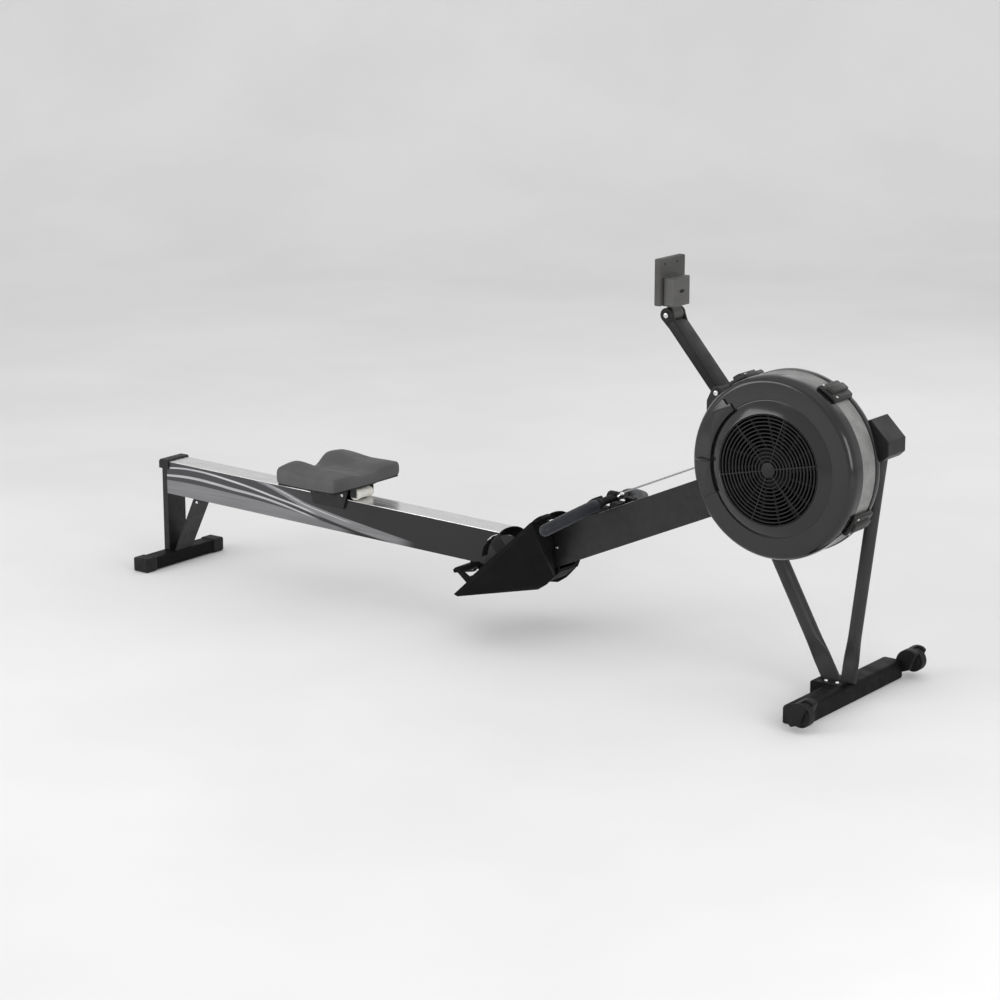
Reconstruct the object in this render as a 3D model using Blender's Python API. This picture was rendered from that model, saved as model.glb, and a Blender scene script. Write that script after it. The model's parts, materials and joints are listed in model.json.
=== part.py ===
"""Indoor rowing machine: inclined main beam with a caged flywheel, sloping seat rail, sliding seat,
foot plates, pull handle on a chain, swing-up monitor, and a cross bar on the floor at each end.

Frame: metres, +Z up, floor at z = 0, +X from the seat end to the flywheel end, +Y the rower's left.
The origin is on the floor under the middle of the machine.
"""

from math import atan2, cos, pi, radians, sin, sqrt, tan

import bmesh
import bpy
from mathutils import Matrix, Vector

# ---------------------------------------------------------------- driving dimensions
LENGTH = 2.44  # rail end cap to beam end cap
REAR = -LENGTH / 2
GAP = 0.0004  # clearance between touching pieces

RAIL_WIDTH = 0.079
RAIL_HEIGHT = 0.0985  # extrusion and running track together
RAIL_TILT = radians(1.4)  # falls towards the flywheel
RAIL_TOP_AT_REAR = 0.315
RAIL_START = 0.026  # measured from the rear end of the machine
RAIL_END = 1.346
RAIL_WALL = 0.004
TRACK_THICKNESS = 0.002

BEAM_WIDTH = 0.080
BEAM_DEPTH = 0.1016
BEAM_TILT = radians(23.75)
BEAM_WALL = 0.003
BEAM_START = 1.3468  # vertical cut against the end of the rail
BEAM_END = 2.386  # where the square-cut upper end meets the top face

WHEEL_X = REAR + 2.189  # flywheel axis
WHEEL_Z = 0.616
BEAM_MID_Z = 0.5976  # height of the beam's middle line under the flywheel axis
CASE_RADIUS = 0.2323
CASE_FRONT = -0.178  # plane of the flat outer ring of the right shell
CASE_BACK = -0.0435
GRILLE_RADIUS = 0.1405
GRILLE_FACE = -0.193
CONE_RADIUS = 0.171
VENT_NEAR = -0.129
VENT_FAR = -0.066

ARM_PIVOT = (REAR + 1.941, 0.754)  # x, z of the lower monitor hinge
MONITOR_PIVOT = (REAR + 1.782, 0.9355)
ARM_WIDTH = 0.062
ARM_ABOVE, ARM_BELOW = 0.008, 0.016  # the arm's two faces, from the line between its hinges
EAR_RADIUS = 0.0190

SEAT_X = REAR + 0.657
SEAT_LENGTH = 0.221
SEAT_WIDTH = 0.306
SEAT_BASE_Z = 0.3355
ROLLER_RADIUS = 0.0155
ROLLER_OFFSET = 0.086

HEEL = (REAR + 1.196, 0.128)  # lower rear corner of a foot plate, x and z
TOE = (REAR + 1.452, 0.367)
STRAP_INNER = 0.0450
FOOT_OUTER = 0.1650

HANDLE = (REAR + 1.607, 0.425)  # middle of the handle at rest
HANDLE_SPAN = 0.241  # half of its width
HANDLE_SWEEP = (-0.067, -0.056)  # how far the grip ends trail behind the middle, x and z
CHAIN_LIFT = 0.031  # chain above the beam's top face

FRONT_FOOT_X = REAR + 2.313
FRONT_FOOT_HALF = 0.247
CASTER_X = REAR + 2.359
CASTER_Z = 0.044
CASTER_RADIUS = 0.030
CASTER_Y = 0.2855
REAR_FOOT_X = REAR + 0.029
REAR_FOOT_HALF = 0.150

AXLE_RADIUS = 0.0080
BEARING_RADIUS = 0.0125
CASE_STEPS = 56  # sides of the round casing parts
CLAMP_ANGLES = (57.0, -31.0, 122.0)  # degrees from +X towards +Z, seen from the right
BUTTON_Y = (-0.033, 0.0, 0.033)
LOCK_PIVOT = (REAR + 1.172, 0.172)
FOOT_INNER_EDGE = 0.0445  # inner side of a foot plate's gusset
PLATE_LENGTH = sqrt((TOE[0] - HEEL[0]) ** 2 + (TOE[1] - HEEL[1]) ** 2)
TUBE = (REAR + 1.405, 0.180)  # cross tube that the foot plates hang on
TUBE_RADIUS = 0.009
GUSSET = ((REAR + 1.4487, 0.1950), (REAR + 1.4195, 0.1650), (REAR + 1.3930, 0.1476))  # its lower edge


# ---------------------------------------------------------------- materials
def material(name, colour, roughness, metallic=0.0):
    existing = bpy.data.materials.get(name)
    if existing:
        return existing
    made = bpy.data.materials.new(name)
    made.use_nodes = True
    shader = made.node_tree.nodes["Principled BSDF"]
    shader.inputs["Base Color"].default_value = (*colour, 1.0)
    shader.inputs["Roughness"].default_value = roughness
    shader.inputs["Metallic"].default_value = metallic
    made.diffuse_color = (*colour, 1.0)
    return made


def black_plastic():
    return material("black_plastic", (0.022, 0.022, 0.023), 0.42)


def gloss_plastic():
    return material("gloss_plastic", (0.018, 0.018, 0.019), 0.22)


def black_paint():
    return material("black_paint", (0.026, 0.026, 0.027), 0.38)


def leg_paint():
    return material("leg_paint", (0.045, 0.048, 0.045), 0.45, 0.2)


def stainless():
    return material("stainless", (0.62, 0.62, 0.61), 0.3, 1.0)


def bright_steel():
    return material("bright_steel", (0.7, 0.7, 0.7), 0.25, 1.0)


def vent_steel():
    return material("vent_steel", (0.33, 0.34, 0.34), 0.5, 0.6)


def black_rubber():
    return material("black_rubber", (0.02, 0.02, 0.022), 0.75)


def navy_grip():
    return material("navy_grip", (0.022, 0.026, 0.036), 0.6)


def seat_foam():
    return material("seat_foam", (0.095, 0.095, 0.098), 0.7)


def white_nylon():
    return material("white_nylon", (0.72, 0.71, 0.65), 0.45)


def webbing():
    return material("webbing", (0.02, 0.02, 0.02), 0.85)


def monitor_plastic():
    return material("monitor_plastic", (0.075, 0.078, 0.076), 0.55)


def screen_glass():
    return material("screen_glass", (0.2, 0.24, 0.2), 0.15)


# ---------------------------------------------------------------- mesh helpers
def add_object(name, mesh_builder, look, smooth_angle=35.0):
    """Finish a bmesh as a named object with one material, its faces pointing out."""
    bmesh.ops.remove_doubles(mesh_builder, verts=mesh_builder.verts, dist=1e-6)
    bmesh.ops.recalc_face_normals(mesh_builder, faces=mesh_builder.faces)
    mesh = bpy.data.meshes.new(name)
    mesh_builder.to_mesh(mesh)
    mesh_builder.free()
    mesh.shade_smooth()
    mesh.set_sharp_from_angle(angle=radians(smooth_angle))
    mesh.materials.append(look)
    made = bpy.data.objects.new(name, mesh)
    bpy.context.scene.collection.objects.link(made)
    return made


def combine(target, other, operation):
    """Join to, or cut from, one object another one, which is used up."""
    modifier = target.modifiers.new("shape", "BOOLEAN")
    modifier.operation = operation
    modifier.object = other
    modifier.solver = "EXACT"
    bpy.context.view_layer.update()
    graph = bpy.context.evaluated_depsgraph_get()
    shaped = bpy.data.meshes.new_from_object(target.evaluated_get(graph))
    target.modifiers.remove(modifier)
    target.data = shaped
    bpy.data.objects.remove(other)
    shaped.shade_smooth()
    shaped.set_sharp_from_angle(angle=radians(35.0))
    return target


def union(target, *others):
    for other in others:
        combine(target, other, "UNION")
    return target


def cut(target, *others):
    for other in others:
        combine(target, other, "DIFFERENCE")
    return target


def bevelled(target, width, segments=2, angle=30.0):
    """Round the sharp edges of a finished shape."""
    builder = bmesh.new()
    builder.from_mesh(target.data)
    edges = [e for e in builder.edges if e.is_manifold and e.calc_face_angle(0.0) > radians(angle)]
    bmesh.ops.bevel(builder, geom=edges, offset=width, segments=segments, profile=0.5,
                    affect="EDGES", clamp_overlap=True)
    builder.to_mesh(target.data)
    builder.free()
    target.data.shade_smooth()
    target.data.set_sharp_from_angle(angle=radians(35.0))
    return target


def prism(name, outline, y_low, y_high, look, bevel=0.0):
    """A closed outline in x and z, extruded along Y."""
    builder = bmesh.new()
    face = builder.faces.new([builder.verts.new((x, y_low, z)) for x, z in outline])
    grown = bmesh.ops.extrude_face_region(builder, geom=[face])
    moved = [v for v in grown["geom"] if isinstance(v, bmesh.types.BMVert)]
    bmesh.ops.translate(builder, verts=moved, vec=(0.0, y_high - y_low, 0.0))
    made = add_object(name, builder, look)
    if bevel:
        bevelled(made, bevel)
    return made


def block(name, centre, size, look, bevel=0.0, tilt=0.0):
    """A box, turned about Y through its centre by tilt."""
    builder = bmesh.new()
    bmesh.ops.create_cube(builder, size=1.0, matrix=Matrix.Diagonal((*size, 1.0)))
    turn = Matrix.Translation(centre) @ Matrix.Rotation(tilt, 4, "Y")
    bmesh.ops.transform(builder, matrix=turn, verts=builder.verts)
    made = add_object(name, builder, look)
    if bevel:
        bevelled(made, bevel)
    return made


def turned(name, profile, centre, look, axis="Y", steps=32):
    """Spin a closed profile of (radius, along) points about an axis; radius 0 closes the middle."""
    builder = bmesh.new()
    rings = []
    for radius, along in profile:
        if radius < 1e-7:
            rings.append([builder.verts.new(axis_point(0.0, along, 0.0, axis))])
        else:
            rings.append([builder.verts.new(axis_point(radius, along, 2 * pi * k / steps, axis))
                          for k in range(steps)])
    for first, second in zip(rings, rings[1:] + rings[:1]):
        if len(first) == 1 and len(second) == 1:
            continue
        for k in range(steps):
            corners = [first[k % len(first)], first[(k + 1) % len(first)],
                       second[(k + 1) % len(second)], second[k % len(second)]]
            unique = list(dict.fromkeys(corners))
            if len(unique) > 2:
                builder.faces.new(unique)
    bmesh.ops.translate(builder, verts=builder.verts, vec=centre)
    return add_object(name, builder, look)


def axis_point(radius, along, angle, axis):
    if axis == "Y":
        return (radius * cos(angle), along, radius * sin(angle))
    if axis == "Z":
        return (radius * cos(angle), radius * sin(angle), along)
    return (along, radius * cos(angle), radius * sin(angle))


def disc(name, radius, y_low, y_high, centre_x, centre_z, look, bore=0.0, steps=32):
    """A round plate or ring on an axis along Y."""
    if bore:
        profile = [(bore, y_low), (radius, y_low), (radius, y_high), (bore, y_high)]
    else:
        profile = [(0.0, y_low), (radius, y_low), (radius, y_high), (0.0, y_high)]
    return turned(name, profile, (centre_x, 0.0, centre_z), look, steps=steps)


def rod(name, start, end, radius, look, steps=20):
    """A straight round bar between two points."""
    return swept(name, [start, end], [radius, radius], look, steps)


def swept(name, path, radii, look, steps=16, squash=None):
    """A round bar along a path of points; squash gives (side scale, other scale) at each point."""
    builder = bmesh.new()
    points = [Vector(p) for p in path]
    rings = []
    for i, point in enumerate(points):
        before = points[max(i - 1, 0)]
        after = points[min(i + 1, len(points) - 1)]
        ahead = (after - before).normalized()
        helper = Vector((0.0, 1.0, 0.0)) if abs(ahead.y) < 0.8 else Vector((0.0, 0.0, 1.0))
        side = ahead.cross(helper).normalized()
        other = ahead.cross(side).normalized()
        wide, deep = squash[i] if squash else (1.0, 1.0)
        rings.append([builder.verts.new(point + side * (radii[i] * wide * cos(2 * pi * k / steps))
                                        + other * (radii[i] * deep * sin(2 * pi * k / steps)))
                      for k in range(steps)])
    for first, second in zip(rings, rings[1:]):
        for k in range(steps):
            builder.faces.new([first[k], first[(k + 1) % steps], second[(k + 1) % steps], second[k]])
    builder.faces.new(rings[0])
    builder.faces.new(rings[-1])
    return add_object(name, builder, look)


def arc(centre, radius, start, end, steps):
    """Points on an arc in x and z, angles in degrees from +X towards +Z."""
    return [(centre[0] + radius * cos(radians(start + (end - start) * k / steps)),
             centre[1] + radius * sin(radians(start + (end - start) * k / steps)))
            for k in range(steps + 1)]


def mirrored(name, source):
    """A copy reflected to the other side of the machine."""
    builder = bmesh.new()
    builder.from_mesh(source.data)
    bmesh.ops.transform(builder, matrix=Matrix.Diagonal((1.0, -1.0, 1.0, 1.0)), verts=builder.verts)
    bmesh.ops.reverse_faces(builder, faces=builder.faces)
    return add_object(name, builder, source.data.materials[0])


# ---------------------------------------------------------------- places worked out from the sizes
def rail_point(distance, below_top=0.0):
    """x and z of a point on the rail, by its distance from the rear end and its depth."""
    return REAR + distance, RAIL_TOP_AT_REAR - distance * tan(RAIL_TILT) - below_top


def beam_point(x, above_middle):
    """z of the beam at x, offset square to its middle line."""
    return BEAM_MID_Z + (x - WHEEL_X) * tan(BEAM_TILT) + above_middle / cos(BEAM_TILT)


def along_beam(x, above_middle, forward=0.0, upward=0.0):
    """A point fixed to the beam: forward runs along it, upward is square to it."""
    z = beam_point(x, above_middle)
    return (x + forward * cos(BEAM_TILT) - upward * sin(BEAM_TILT),
            z + forward * sin(BEAM_TILT) + upward * cos(BEAM_TILT))


def on_plate(along, above):
    """x and z of a point on a foot plate, from the heel up the slope and square to it."""
    ux, uz = (TOE[0] - HEEL[0]) / PLATE_LENGTH, (TOE[1] - HEEL[1]) / PLATE_LENGTH
    return HEEL[0] + ux * along - uz * above, HEEL[1] + uz * along + ux * above


# ---------------------------------------------------------------- seat rail and rear stand
def box_tube(name, outline, inner, half_width, inner_half, look):
    """A rectangular tube whose side view is outline and whose bore is inner, open at both ends."""
    tube = prism(name, outline, -half_width, half_width, look)
    bore = prism("bore", inner, -inner_half, inner_half, look)
    return cut(tube, bore)


def make_monorail():
    half = RAIL_WIDTH / 2
    low, high = RAIL_HEIGHT, TRACK_THICKNESS + GAP
    outline = [rail_point(RAIL_START, low), rail_point(RAIL_END, low),
               rail_point(RAIL_END, high), rail_point(RAIL_START, high)]
    inner = [rail_point(RAIL_START - 0.01, low - RAIL_WALL), rail_point(RAIL_END + 0.01, low - RAIL_WALL),
             rail_point(RAIL_END + 0.01, high + RAIL_WALL), rail_point(RAIL_START - 0.01, high + RAIL_WALL)]
    box_tube("monorail", outline, inner, half, half - RAIL_WALL, black_paint())


def make_seat_track():
    outline = [rail_point(RAIL_START, TRACK_THICKNESS), rail_point(RAIL_END - 0.012, TRACK_THICKNESS),
               rail_point(RAIL_END - 0.012, 0.0), rail_point(RAIL_START, 0.0)]
    prism("seat_track", outline, -RAIL_WIDTH / 2, RAIL_WIDTH / 2, stainless(), bevel=0.0006)


def make_rail_end_cap():
    """A moulded cap over the rail's rear end, which also stops the seat."""
    half = 0.045
    reach = 0.0365
    top, bottom = 0.3190, 0.2915
    cap = prism("rail_end_cap", [(REAR, bottom), (REAR + reach, bottom), (REAR + reach, top - 0.003),
                                 (REAR + reach - 0.004, top), (REAR + 0.006, top), (REAR, top - 0.006)],
                -half, half, black_plastic())
    room = 0.0005
    past = reach + 0.01
    hollow = [(REAR + 0.0035, bottom - 0.01), (REAR + past, bottom - 0.01),
              (REAR + past, rail_point(past, -room)[1]), (REAR + 0.0035, rail_point(0.0035, -room)[1])]
    cut(cap, prism("hollow", hollow, -RAIL_WIDTH / 2 - room, RAIL_WIDTH / 2 + room, black_plastic()))


def make_rear_stand():
    """Upright, diagonal brace and foot bar, all pressed and welded steel, with rubber end pads."""
    foot_top = 0.040
    upright_top = rail_point(0.006, 0.004)[1]
    upright = prism("rear_upright", [(REAR + 0.0055, foot_top + GAP), (REAR + 0.0250, foot_top + GAP),
                                     (REAR + 0.0250, upright_top), (REAR + 0.0055, upright_top)],
                    -0.0375, 0.0375, black_paint())
    channel = block("channel", (REAR + 0.0085, 0.0, 0.125), (0.020, 0.067, 0.156), black_paint())
    cut(upright, channel)
    top_x, top_z = rail_point(0.126, RAIL_HEIGHT + GAP)
    end_x, end_z = rail_point(0.156, RAIL_HEIGHT + GAP)
    foot_x, plate = REAR + 0.044, 0.007
    outline = [(foot_x, foot_top + GAP), (foot_x + plate, foot_top + GAP), (top_x + plate, top_z - plate),
               (end_x, end_z - plate), (end_x, end_z), (top_x, top_z)]
    prism("rear_brace", outline, -0.0345, 0.0345, black_paint())
    bar = block("rear_foot_bar", (REAR_FOOT_X, 0.0, 0.0215), (0.048, 2 * REAR_FOOT_HALF, 0.037),
                black_paint(), bevel=0.002)
    cut(bar, block("bore", (REAR_FOOT_X, 0.0, 0.0215), (0.042, 0.5, 0.031), black_paint()))
    for side, name in ((-1, "rear_foot_pad_right"), (1, "rear_foot_pad_left")):
        pad = block(name, (REAR_FOOT_X, side * (REAR_FOOT_HALF - 0.004), 0.0215), (0.056, 0.046, 0.043),
                    black_rubber(), bevel=0.006)
        socket = block("socket", (REAR_FOOT_X, side * (REAR_FOOT_HALF - 0.02), 0.0215),
                       (0.048 + 2 * GAP, 0.04 + 2 * GAP, 0.037 + 2 * GAP), black_rubber())
        cut(pad, socket)


# ---------------------------------------------------------------- main beam and front stand
def make_main_beam():
    half = BEAM_DEPTH / 2
    start, end = REAR + BEAM_START, REAR + BEAM_END
    top_end = (end, beam_point(end, half))
    low_end = (top_end[0] + BEAM_DEPTH * sin(BEAM_TILT), top_end[1] - BEAM_DEPTH * cos(BEAM_TILT))
    outline = [(start, beam_point(start, -half)), low_end, top_end, (start, beam_point(start, half))]
    inside = half - BEAM_WALL
    inner = [(start - 0.01, beam_point(start - 0.01, -inside)), (end + 0.08, beam_point(end + 0.08, -inside)),
             (end + 0.08, beam_point(end + 0.08, inside)), (start - 0.01, beam_point(start - 0.01, inside))]
    beam = box_tube("main_beam", outline, inner, BEAM_WIDTH / 2, BEAM_WIDTH / 2 - BEAM_WALL, black_paint())
    cut(beam, disc("bearing_seat", BEARING_RADIUS + GAP, -0.06, 0.06, WHEEL_X, WHEEL_Z, black_paint(),
                   steps=24))
    slot_x = WHEEL_X - 0.098
    slot = block("chain_slot", (slot_x, 0.0, beam_point(slot_x, half)), (0.14, 0.014, 0.03),
                 black_paint(), tilt=-BEAM_TILT)
    cut(beam, slot)


def make_beam_end_cap():
    half = BEAM_DEPTH / 2
    end = REAR + BEAM_END
    skin = 0.0025
    wide = 0.0435
    top_back = along_beam(end, half + skin, forward=-0.036)
    top_front = along_beam(end, half + skin, forward=0.002)
    low_back = along_beam(end + BEAM_DEPTH * sin(BEAM_TILT), -half - skin, forward=-0.062)
    nose_top = (REAR + LENGTH, 0.692)
    nose_low = (REAR + LENGTH, 0.657)
    low_front = (REAR + 2.4245, beam_point(REAR + 2.4245, -half - skin))
    cap = prism("beam_end_cap", [low_back, low_front, nose_low, nose_top, top_front, top_back],
                -wide, wide, black_plastic(), bevel=0.0022)
    room = half + GAP
    top_end = along_beam(end, room, forward=GAP)
    low_end = along_beam(end + BEAM_DEPTH * sin(BEAM_TILT), -room, forward=GAP)
    hollow = [along_beam(end, -room, forward=-0.14), low_end, top_end, along_beam(end, room, forward=-0.14)]
    cut(cap, prism("hollow", hollow, -BEAM_WIDTH / 2 - GAP, BEAM_WIDTH / 2 + GAP, black_plastic()))
    notch_x = REAR + 2.3905
    notch_z = beam_point(notch_x, -half)
    cut(cap, block("leg_notch", (notch_x, 0.0, notch_z), (0.048, 0.052, 0.060), black_plastic()))


def make_front_legs():
    """Two round tubes whose lower ends are pressed flat for the foot bolt."""
    half = BEAM_DEPTH / 2
    foot_z = 0.036
    stand_z = 0.0495
    flat = (1.30, 0.26)
    mid = (1.20, 0.70)
    round_end = (1.0, 1.0)
    stations = [0.0, 0.074, 0.100, 0.138]

    def leg(name, foot_x, top_x, radius):
        top_z = beam_point(top_x, -half - 0.0008)
        foot = Vector((foot_x, 0.0, foot_z))
        head = Vector((top_x, 0.0, top_z))
        reach = (head - foot).length
        path = [foot + (head - foot).normalized() * s for s in stations + [reach + 0.03]]
        tube = swept(name, path, [radius] * 5, leg_paint(), 20, [flat, flat, mid, round_end, round_end])
        x0, x1 = top_x - 0.1, top_x + 0.1
        trim = prism("trim", [(x0, beam_point(x0, -half - 0.0008)), (x1, beam_point(x1, -half - 0.0008)),
                              (x1, beam_point(x1, 0.1)), (x0, beam_point(x0, 0.1))], -0.05, 0.05, leg_paint())
        under = block("under", (foot_x, 0.0, stand_z - 0.05), (0.2, 0.1, 0.1), leg_paint())
        inside = rod("inside", foot + (head - foot) * 0.36, foot + (head - foot) * 1.2, radius - 0.0025,
                     leg_paint())
        cut(tube, inside, trim, under)

    leg("front_leg_rear", FRONT_FOOT_X - 0.0370, REAR + 2.0410, 0.0204)
    leg("front_leg_front", FRONT_FOOT_X + 0.0115, REAR + 2.3960, 0.017)


def rounded_bar(name, x_half, low, high, y_half, corner, look):
    """A bar across the machine with rounded upper corners, centred on the front foot."""
    left, right = FRONT_FOOT_X - x_half, FRONT_FOOT_X + x_half
    small = corner * 0.35
    outline = (arc((right - corner, high - corner), corner, 0, 90, 4)
               + arc((left + corner, high - corner), corner, 90, 180, 4)
               + arc((left + small, low + small), small, 180, 270, 2)
               + arc((right - small, low + small), small, 270, 360, 2))
    return prism(name, outline, -y_half, y_half, look)


def make_front_foot():
    bar = rounded_bar("front_foot_bar", 0.030, 0.0, 0.049, FRONT_FOOT_HALF, 0.010, black_paint())
    shelf = block("shelf", (FRONT_FOOT_X - 0.047, 0.0, 0.0245), (0.058, 0.085, 0.047), black_paint(),
                  bevel=0.002)
    union(bar, shelf)
    cut(bar, rounded_bar("bore", 0.027, 0.003, 0.046, 0.35, 0.007, black_paint()))


def make_casters():
    """Moulded forks on the ends of the foot bar, each with a transport wheel clear of the floor."""
    for side, tag in ((-1, "right"), (1, "left")):
        outer = side * 0.309
        middle = side * CASTER_Y
        inner = side * (FRONT_FOOT_HALF + GAP)
        outline = arc((CASTER_X, CASTER_Z), 0.0345, 50, 235, 12) + [(CASTER_X + 0.004, 0.024)]
        low, high = sorted((inner, outer))
        fork = prism("caster_fork_" + tag, outline, low, high, black_plastic(), bevel=0.0025)
        space = disc("space", CASTER_RADIUS + 0.0025, *sorted((middle - 0.0125, middle + 0.0125)),
                     CASTER_X, CASTER_Z, black_plastic(), steps=28)
        cut(fork, space)
        low_room = block("low_room", (CASTER_X + 0.020, middle, CASTER_Z - 0.024), (0.07, 0.025, 0.048),
                         black_plastic())
        cut(fork, low_room)
        pin = disc("pin", 0.005, *sorted((inner + side * 0.004, outer - side * 0.004)),
                   CASTER_X, CASTER_Z, black_plastic(), steps=16)
        plug = rounded_bar("plug", 0.0295, 0.001, 0.0485, 0.0025, 0.010, black_plastic())
        plug.data.transform(Matrix.Translation((0.0, inner + side * 0.0025, 0.0)))
        union(fork, pin, plug)
        grooves = [(0.0054, -0.0115), (0.027, -0.0115), (CASTER_RADIUS, -0.0085), (CASTER_RADIUS, -0.0035),
                   (0.0275, -0.0025), (0.0275, 0.0025), (CASTER_RADIUS, 0.0035), (CASTER_RADIUS, 0.0085),
                   (0.027, 0.0115), (0.0054, 0.0115)]
        turned("caster_wheel_" + tag, grooves, (CASTER_X, middle, CASTER_Z), black_rubber(), steps=28)


# ---------------------------------------------------------------- foot rest
def make_footrest_bracket():
    """The steel saddle that joins rail and beam and carries the foot plates."""
    half = BEAM_DEPTH / 2
    x0, x1 = REAR + 1.158, REAR + 1.456
    meet = REAR + BEAM_START
    rail_low = RAIL_HEIGHT + GAP
    saddle_top = [rail_point(x0 - REAR, rail_low), rail_point(BEAM_START - 0.004, rail_low + 0.0025),
                  (meet, beam_point(meet, -half) - GAP * 2), (x1, beam_point(x1, -half) - GAP * 2)]
    saddle_low = [(x1, 0.203), (REAR + 1.425, 0.174), (REAR + 1.395, 0.162), (REAR + 1.220, 0.160),
                  (x0, rail_point(x0 - REAR, rail_low)[1] - 0.012)]
    bracket = prism("footrest_bracket", saddle_low[::-1] + saddle_top[::-1], -0.040, 0.040, black_paint())
    tube = disc("cross_tube", TUBE_RADIUS, -0.0535, 0.0535, *TUBE, black_paint(), steps=16)
    union(bracket, tube)
    inside = prism("inside", [(REAR + 1.10, 0.195), (REAR + 1.200, 0.166), (REAR + 1.393, 0.167),
                              (REAR + 1.421, 0.179), (REAR + 1.450, 0.206), (REAR + 1.50, 0.25),
                              (REAR + 1.50, 0.40), (REAR + 1.10, 0.40)],
                   -0.036, 0.036, black_paint())
    cut(bracket, inside)


def hull(name, points, look):
    """The tightest convex solid around some points."""
    builder = bmesh.new()
    for point in points:
        builder.verts.new(point)
    made = bmesh.ops.convex_hull(builder, input=builder.verts)
    spare = [v for v in made["geom_interior"] if isinstance(v, bmesh.types.BMVert)]
    bmesh.ops.delete(builder, geom=spare, context="VERTS")
    bmesh.ops.dissolve_limit(builder, angle_limit=radians(0.5), verts=builder.verts, edges=builder.edges)
    return add_object(name, builder, look)


def make_footboards():
    """Foot plates with a rim and a gusset that slopes in from the outer edge, open towards the frame."""
    rim = 0.0115  # depth of the plate's edge
    skin = 0.0045
    lip = 0.0045
    inner = FOOT_INNER_EDGE
    corner_in, corner_back = 0.048, 0.034  # the toe's inner corner is cut off

    def wedge(plate, gusset, outer, near, cut_in):
        """Solid between the plate's corners, given as (along, above), and the gusset's lower edge."""
        heel_top, toe_top, heel_low, toe_low = plate
        points = []
        for corner in (heel_top, heel_low):
            x, z = on_plate(*corner)
            points += [(x, outer, z), (x, near, z)]
        for along, above in (toe_top, toe_low):
            x, z = on_plate(along, above)
            points += [(x, outer, z), (x, cut_in, z)]
            x, z = on_plate(along - corner_back, above)
            points.append((x, near, z))
        for x, z in gusset:
            points += [(x, -inner - lip, z), (x, near, z)]
        return points

    plate = ((0.0, 0.0), (PLATE_LENGTH, 0.0), (0.006, -rim), (PLATE_LENGTH, -rim))
    board = hull("footboard_right", wedge(plate, GUSSET, -FOOT_OUTER, -inner, -inner - corner_in),
                 black_plastic())
    front, middle, rear = GUSSET
    raised = ((front[0] - skin, front[1] + 0.008), (middle[0], middle[1] + 0.010), (rear[0], rear[1] + 0.010))
    under = ((0.045, -skin), (PLATE_LENGTH - skin, -skin), (0.055, -rim), (PLATE_LENGTH - skin, -rim))
    hollow = wedge(under, raised, -FOOT_OUTER + 0.0065, -inner + 0.01, -inner - corner_in)
    cut(board, hull("hollow", hollow, black_plastic()))
    tab = []
    for y in (-0.141, -0.109):
        for k in range(12):
            angle = 2 * pi * k / 12
            for above in (-0.0070, 0.0012):
                x, z = on_plate(PLATE_LENGTH + 0.0045 + 0.0155 * cos(angle), above)
                tab.append((x, y + 0.0155 * sin(angle), z))
    union(board, hull("tab", tab, black_plastic()))
    mirrored("footboard_left", board)


def make_heel_cups():
    """Sliding soles with a raised heel wall, pierced in the middle, which set the foot length."""
    up = 0.036  # how far up the slope the sole is set

    def section(points):
        return [on_plate(a + up, b) for a, b in points]

    sole = prism("heel_cup_right", section([(0.012, 0.0006), (0.165, 0.0006), (0.170, 0.004), (0.166, 0.0062),
                                            (0.036, 0.0062), (0.028, 0.010), (0.016, 0.048), (0.008, 0.050),
                                            (0.006, 0.040)]),
                 -0.152, -0.058, black_plastic(), bevel=0.001)
    window = prism("window", section([(-0.02, 0.012), (0.05, 0.012), (0.05, 0.034), (-0.02, 0.034)]),
                   -0.143, -0.067, black_plastic())
    cut(sole, window)
    for along in (0.06, 0.09, 0.12):
        outline = section([(along, -0.01), (along + 0.012, -0.01), (along + 0.012, 0.02), (along, 0.02)])
        cut(sole, prism("slot", outline, -0.118, -0.092, black_plastic()))
    mirrored("heel_cup_left", sole)


def make_foot_straps():
    """Webbing loops over each foot: an arch across the plate, anchored at both edges."""
    centre_y = -(STRAP_INNER + FOOT_OUTER) / 2
    half_span = 0.0535
    rise = 0.0450
    base = 0.0012
    thick = 0.0026
    steps = 18
    near, far = 0.196, 0.234
    builder = bmesh.new()

    def profile(offset):
        points = []
        for k in range(steps + 1):
            angle = pi * k / steps
            y = centre_y - (half_span + offset) * cos(angle)
            height = base + (rise + offset) * sin(angle) ** 0.42
            points.append((y, height))
        return points

    outer, inner = profile(thick), profile(0.0)
    rings = []
    for (yo, ho), (yi, hi) in zip(outer, inner):
        ring = []
        for y, h, along in ((yo, ho, near), (yo, ho, far), (yi, hi, far), (yi, hi, near)):
            x, z = on_plate(along, h)
            ring.append(builder.verts.new((x, y, z)))
        rings.append(ring)
    for first, second in zip(rings, rings[1:]):
        for k in range(4):
            builder.faces.new([first[k], first[(k + 1) % 4], second[(k + 1) % 4], second[k]])
    builder.faces.new(rings[0])
    builder.faces.new(rings[-1])
    strap = add_object("foot_strap_right", builder, webbing())
    mirrored("foot_strap_left", strap)


def make_frame_lock():
    """The catch under the joint that lets the rail lift off the beam."""
    pivot = LOCK_PIVOT
    tip = (REAR + 1.108, 0.150)
    outline = arc(pivot, 0.0105, -70, 110, 8)
    outline += [(tip[0] + 0.004, tip[1] + 0.014), (tip[0] - 0.004, tip[1] + 0.006), (tip[0], tip[1] - 0.002)]
    lever = prism("frame_lock_lever", outline, -0.0495, 0.0495, black_plastic(), bevel=0.0012)
    clear = block("clear", (pivot[0] + 0.012, 0.0, pivot[1] + 0.004), (0.060, 0.0812, 0.050), black_plastic())
    cut(lever, clear)


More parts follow.
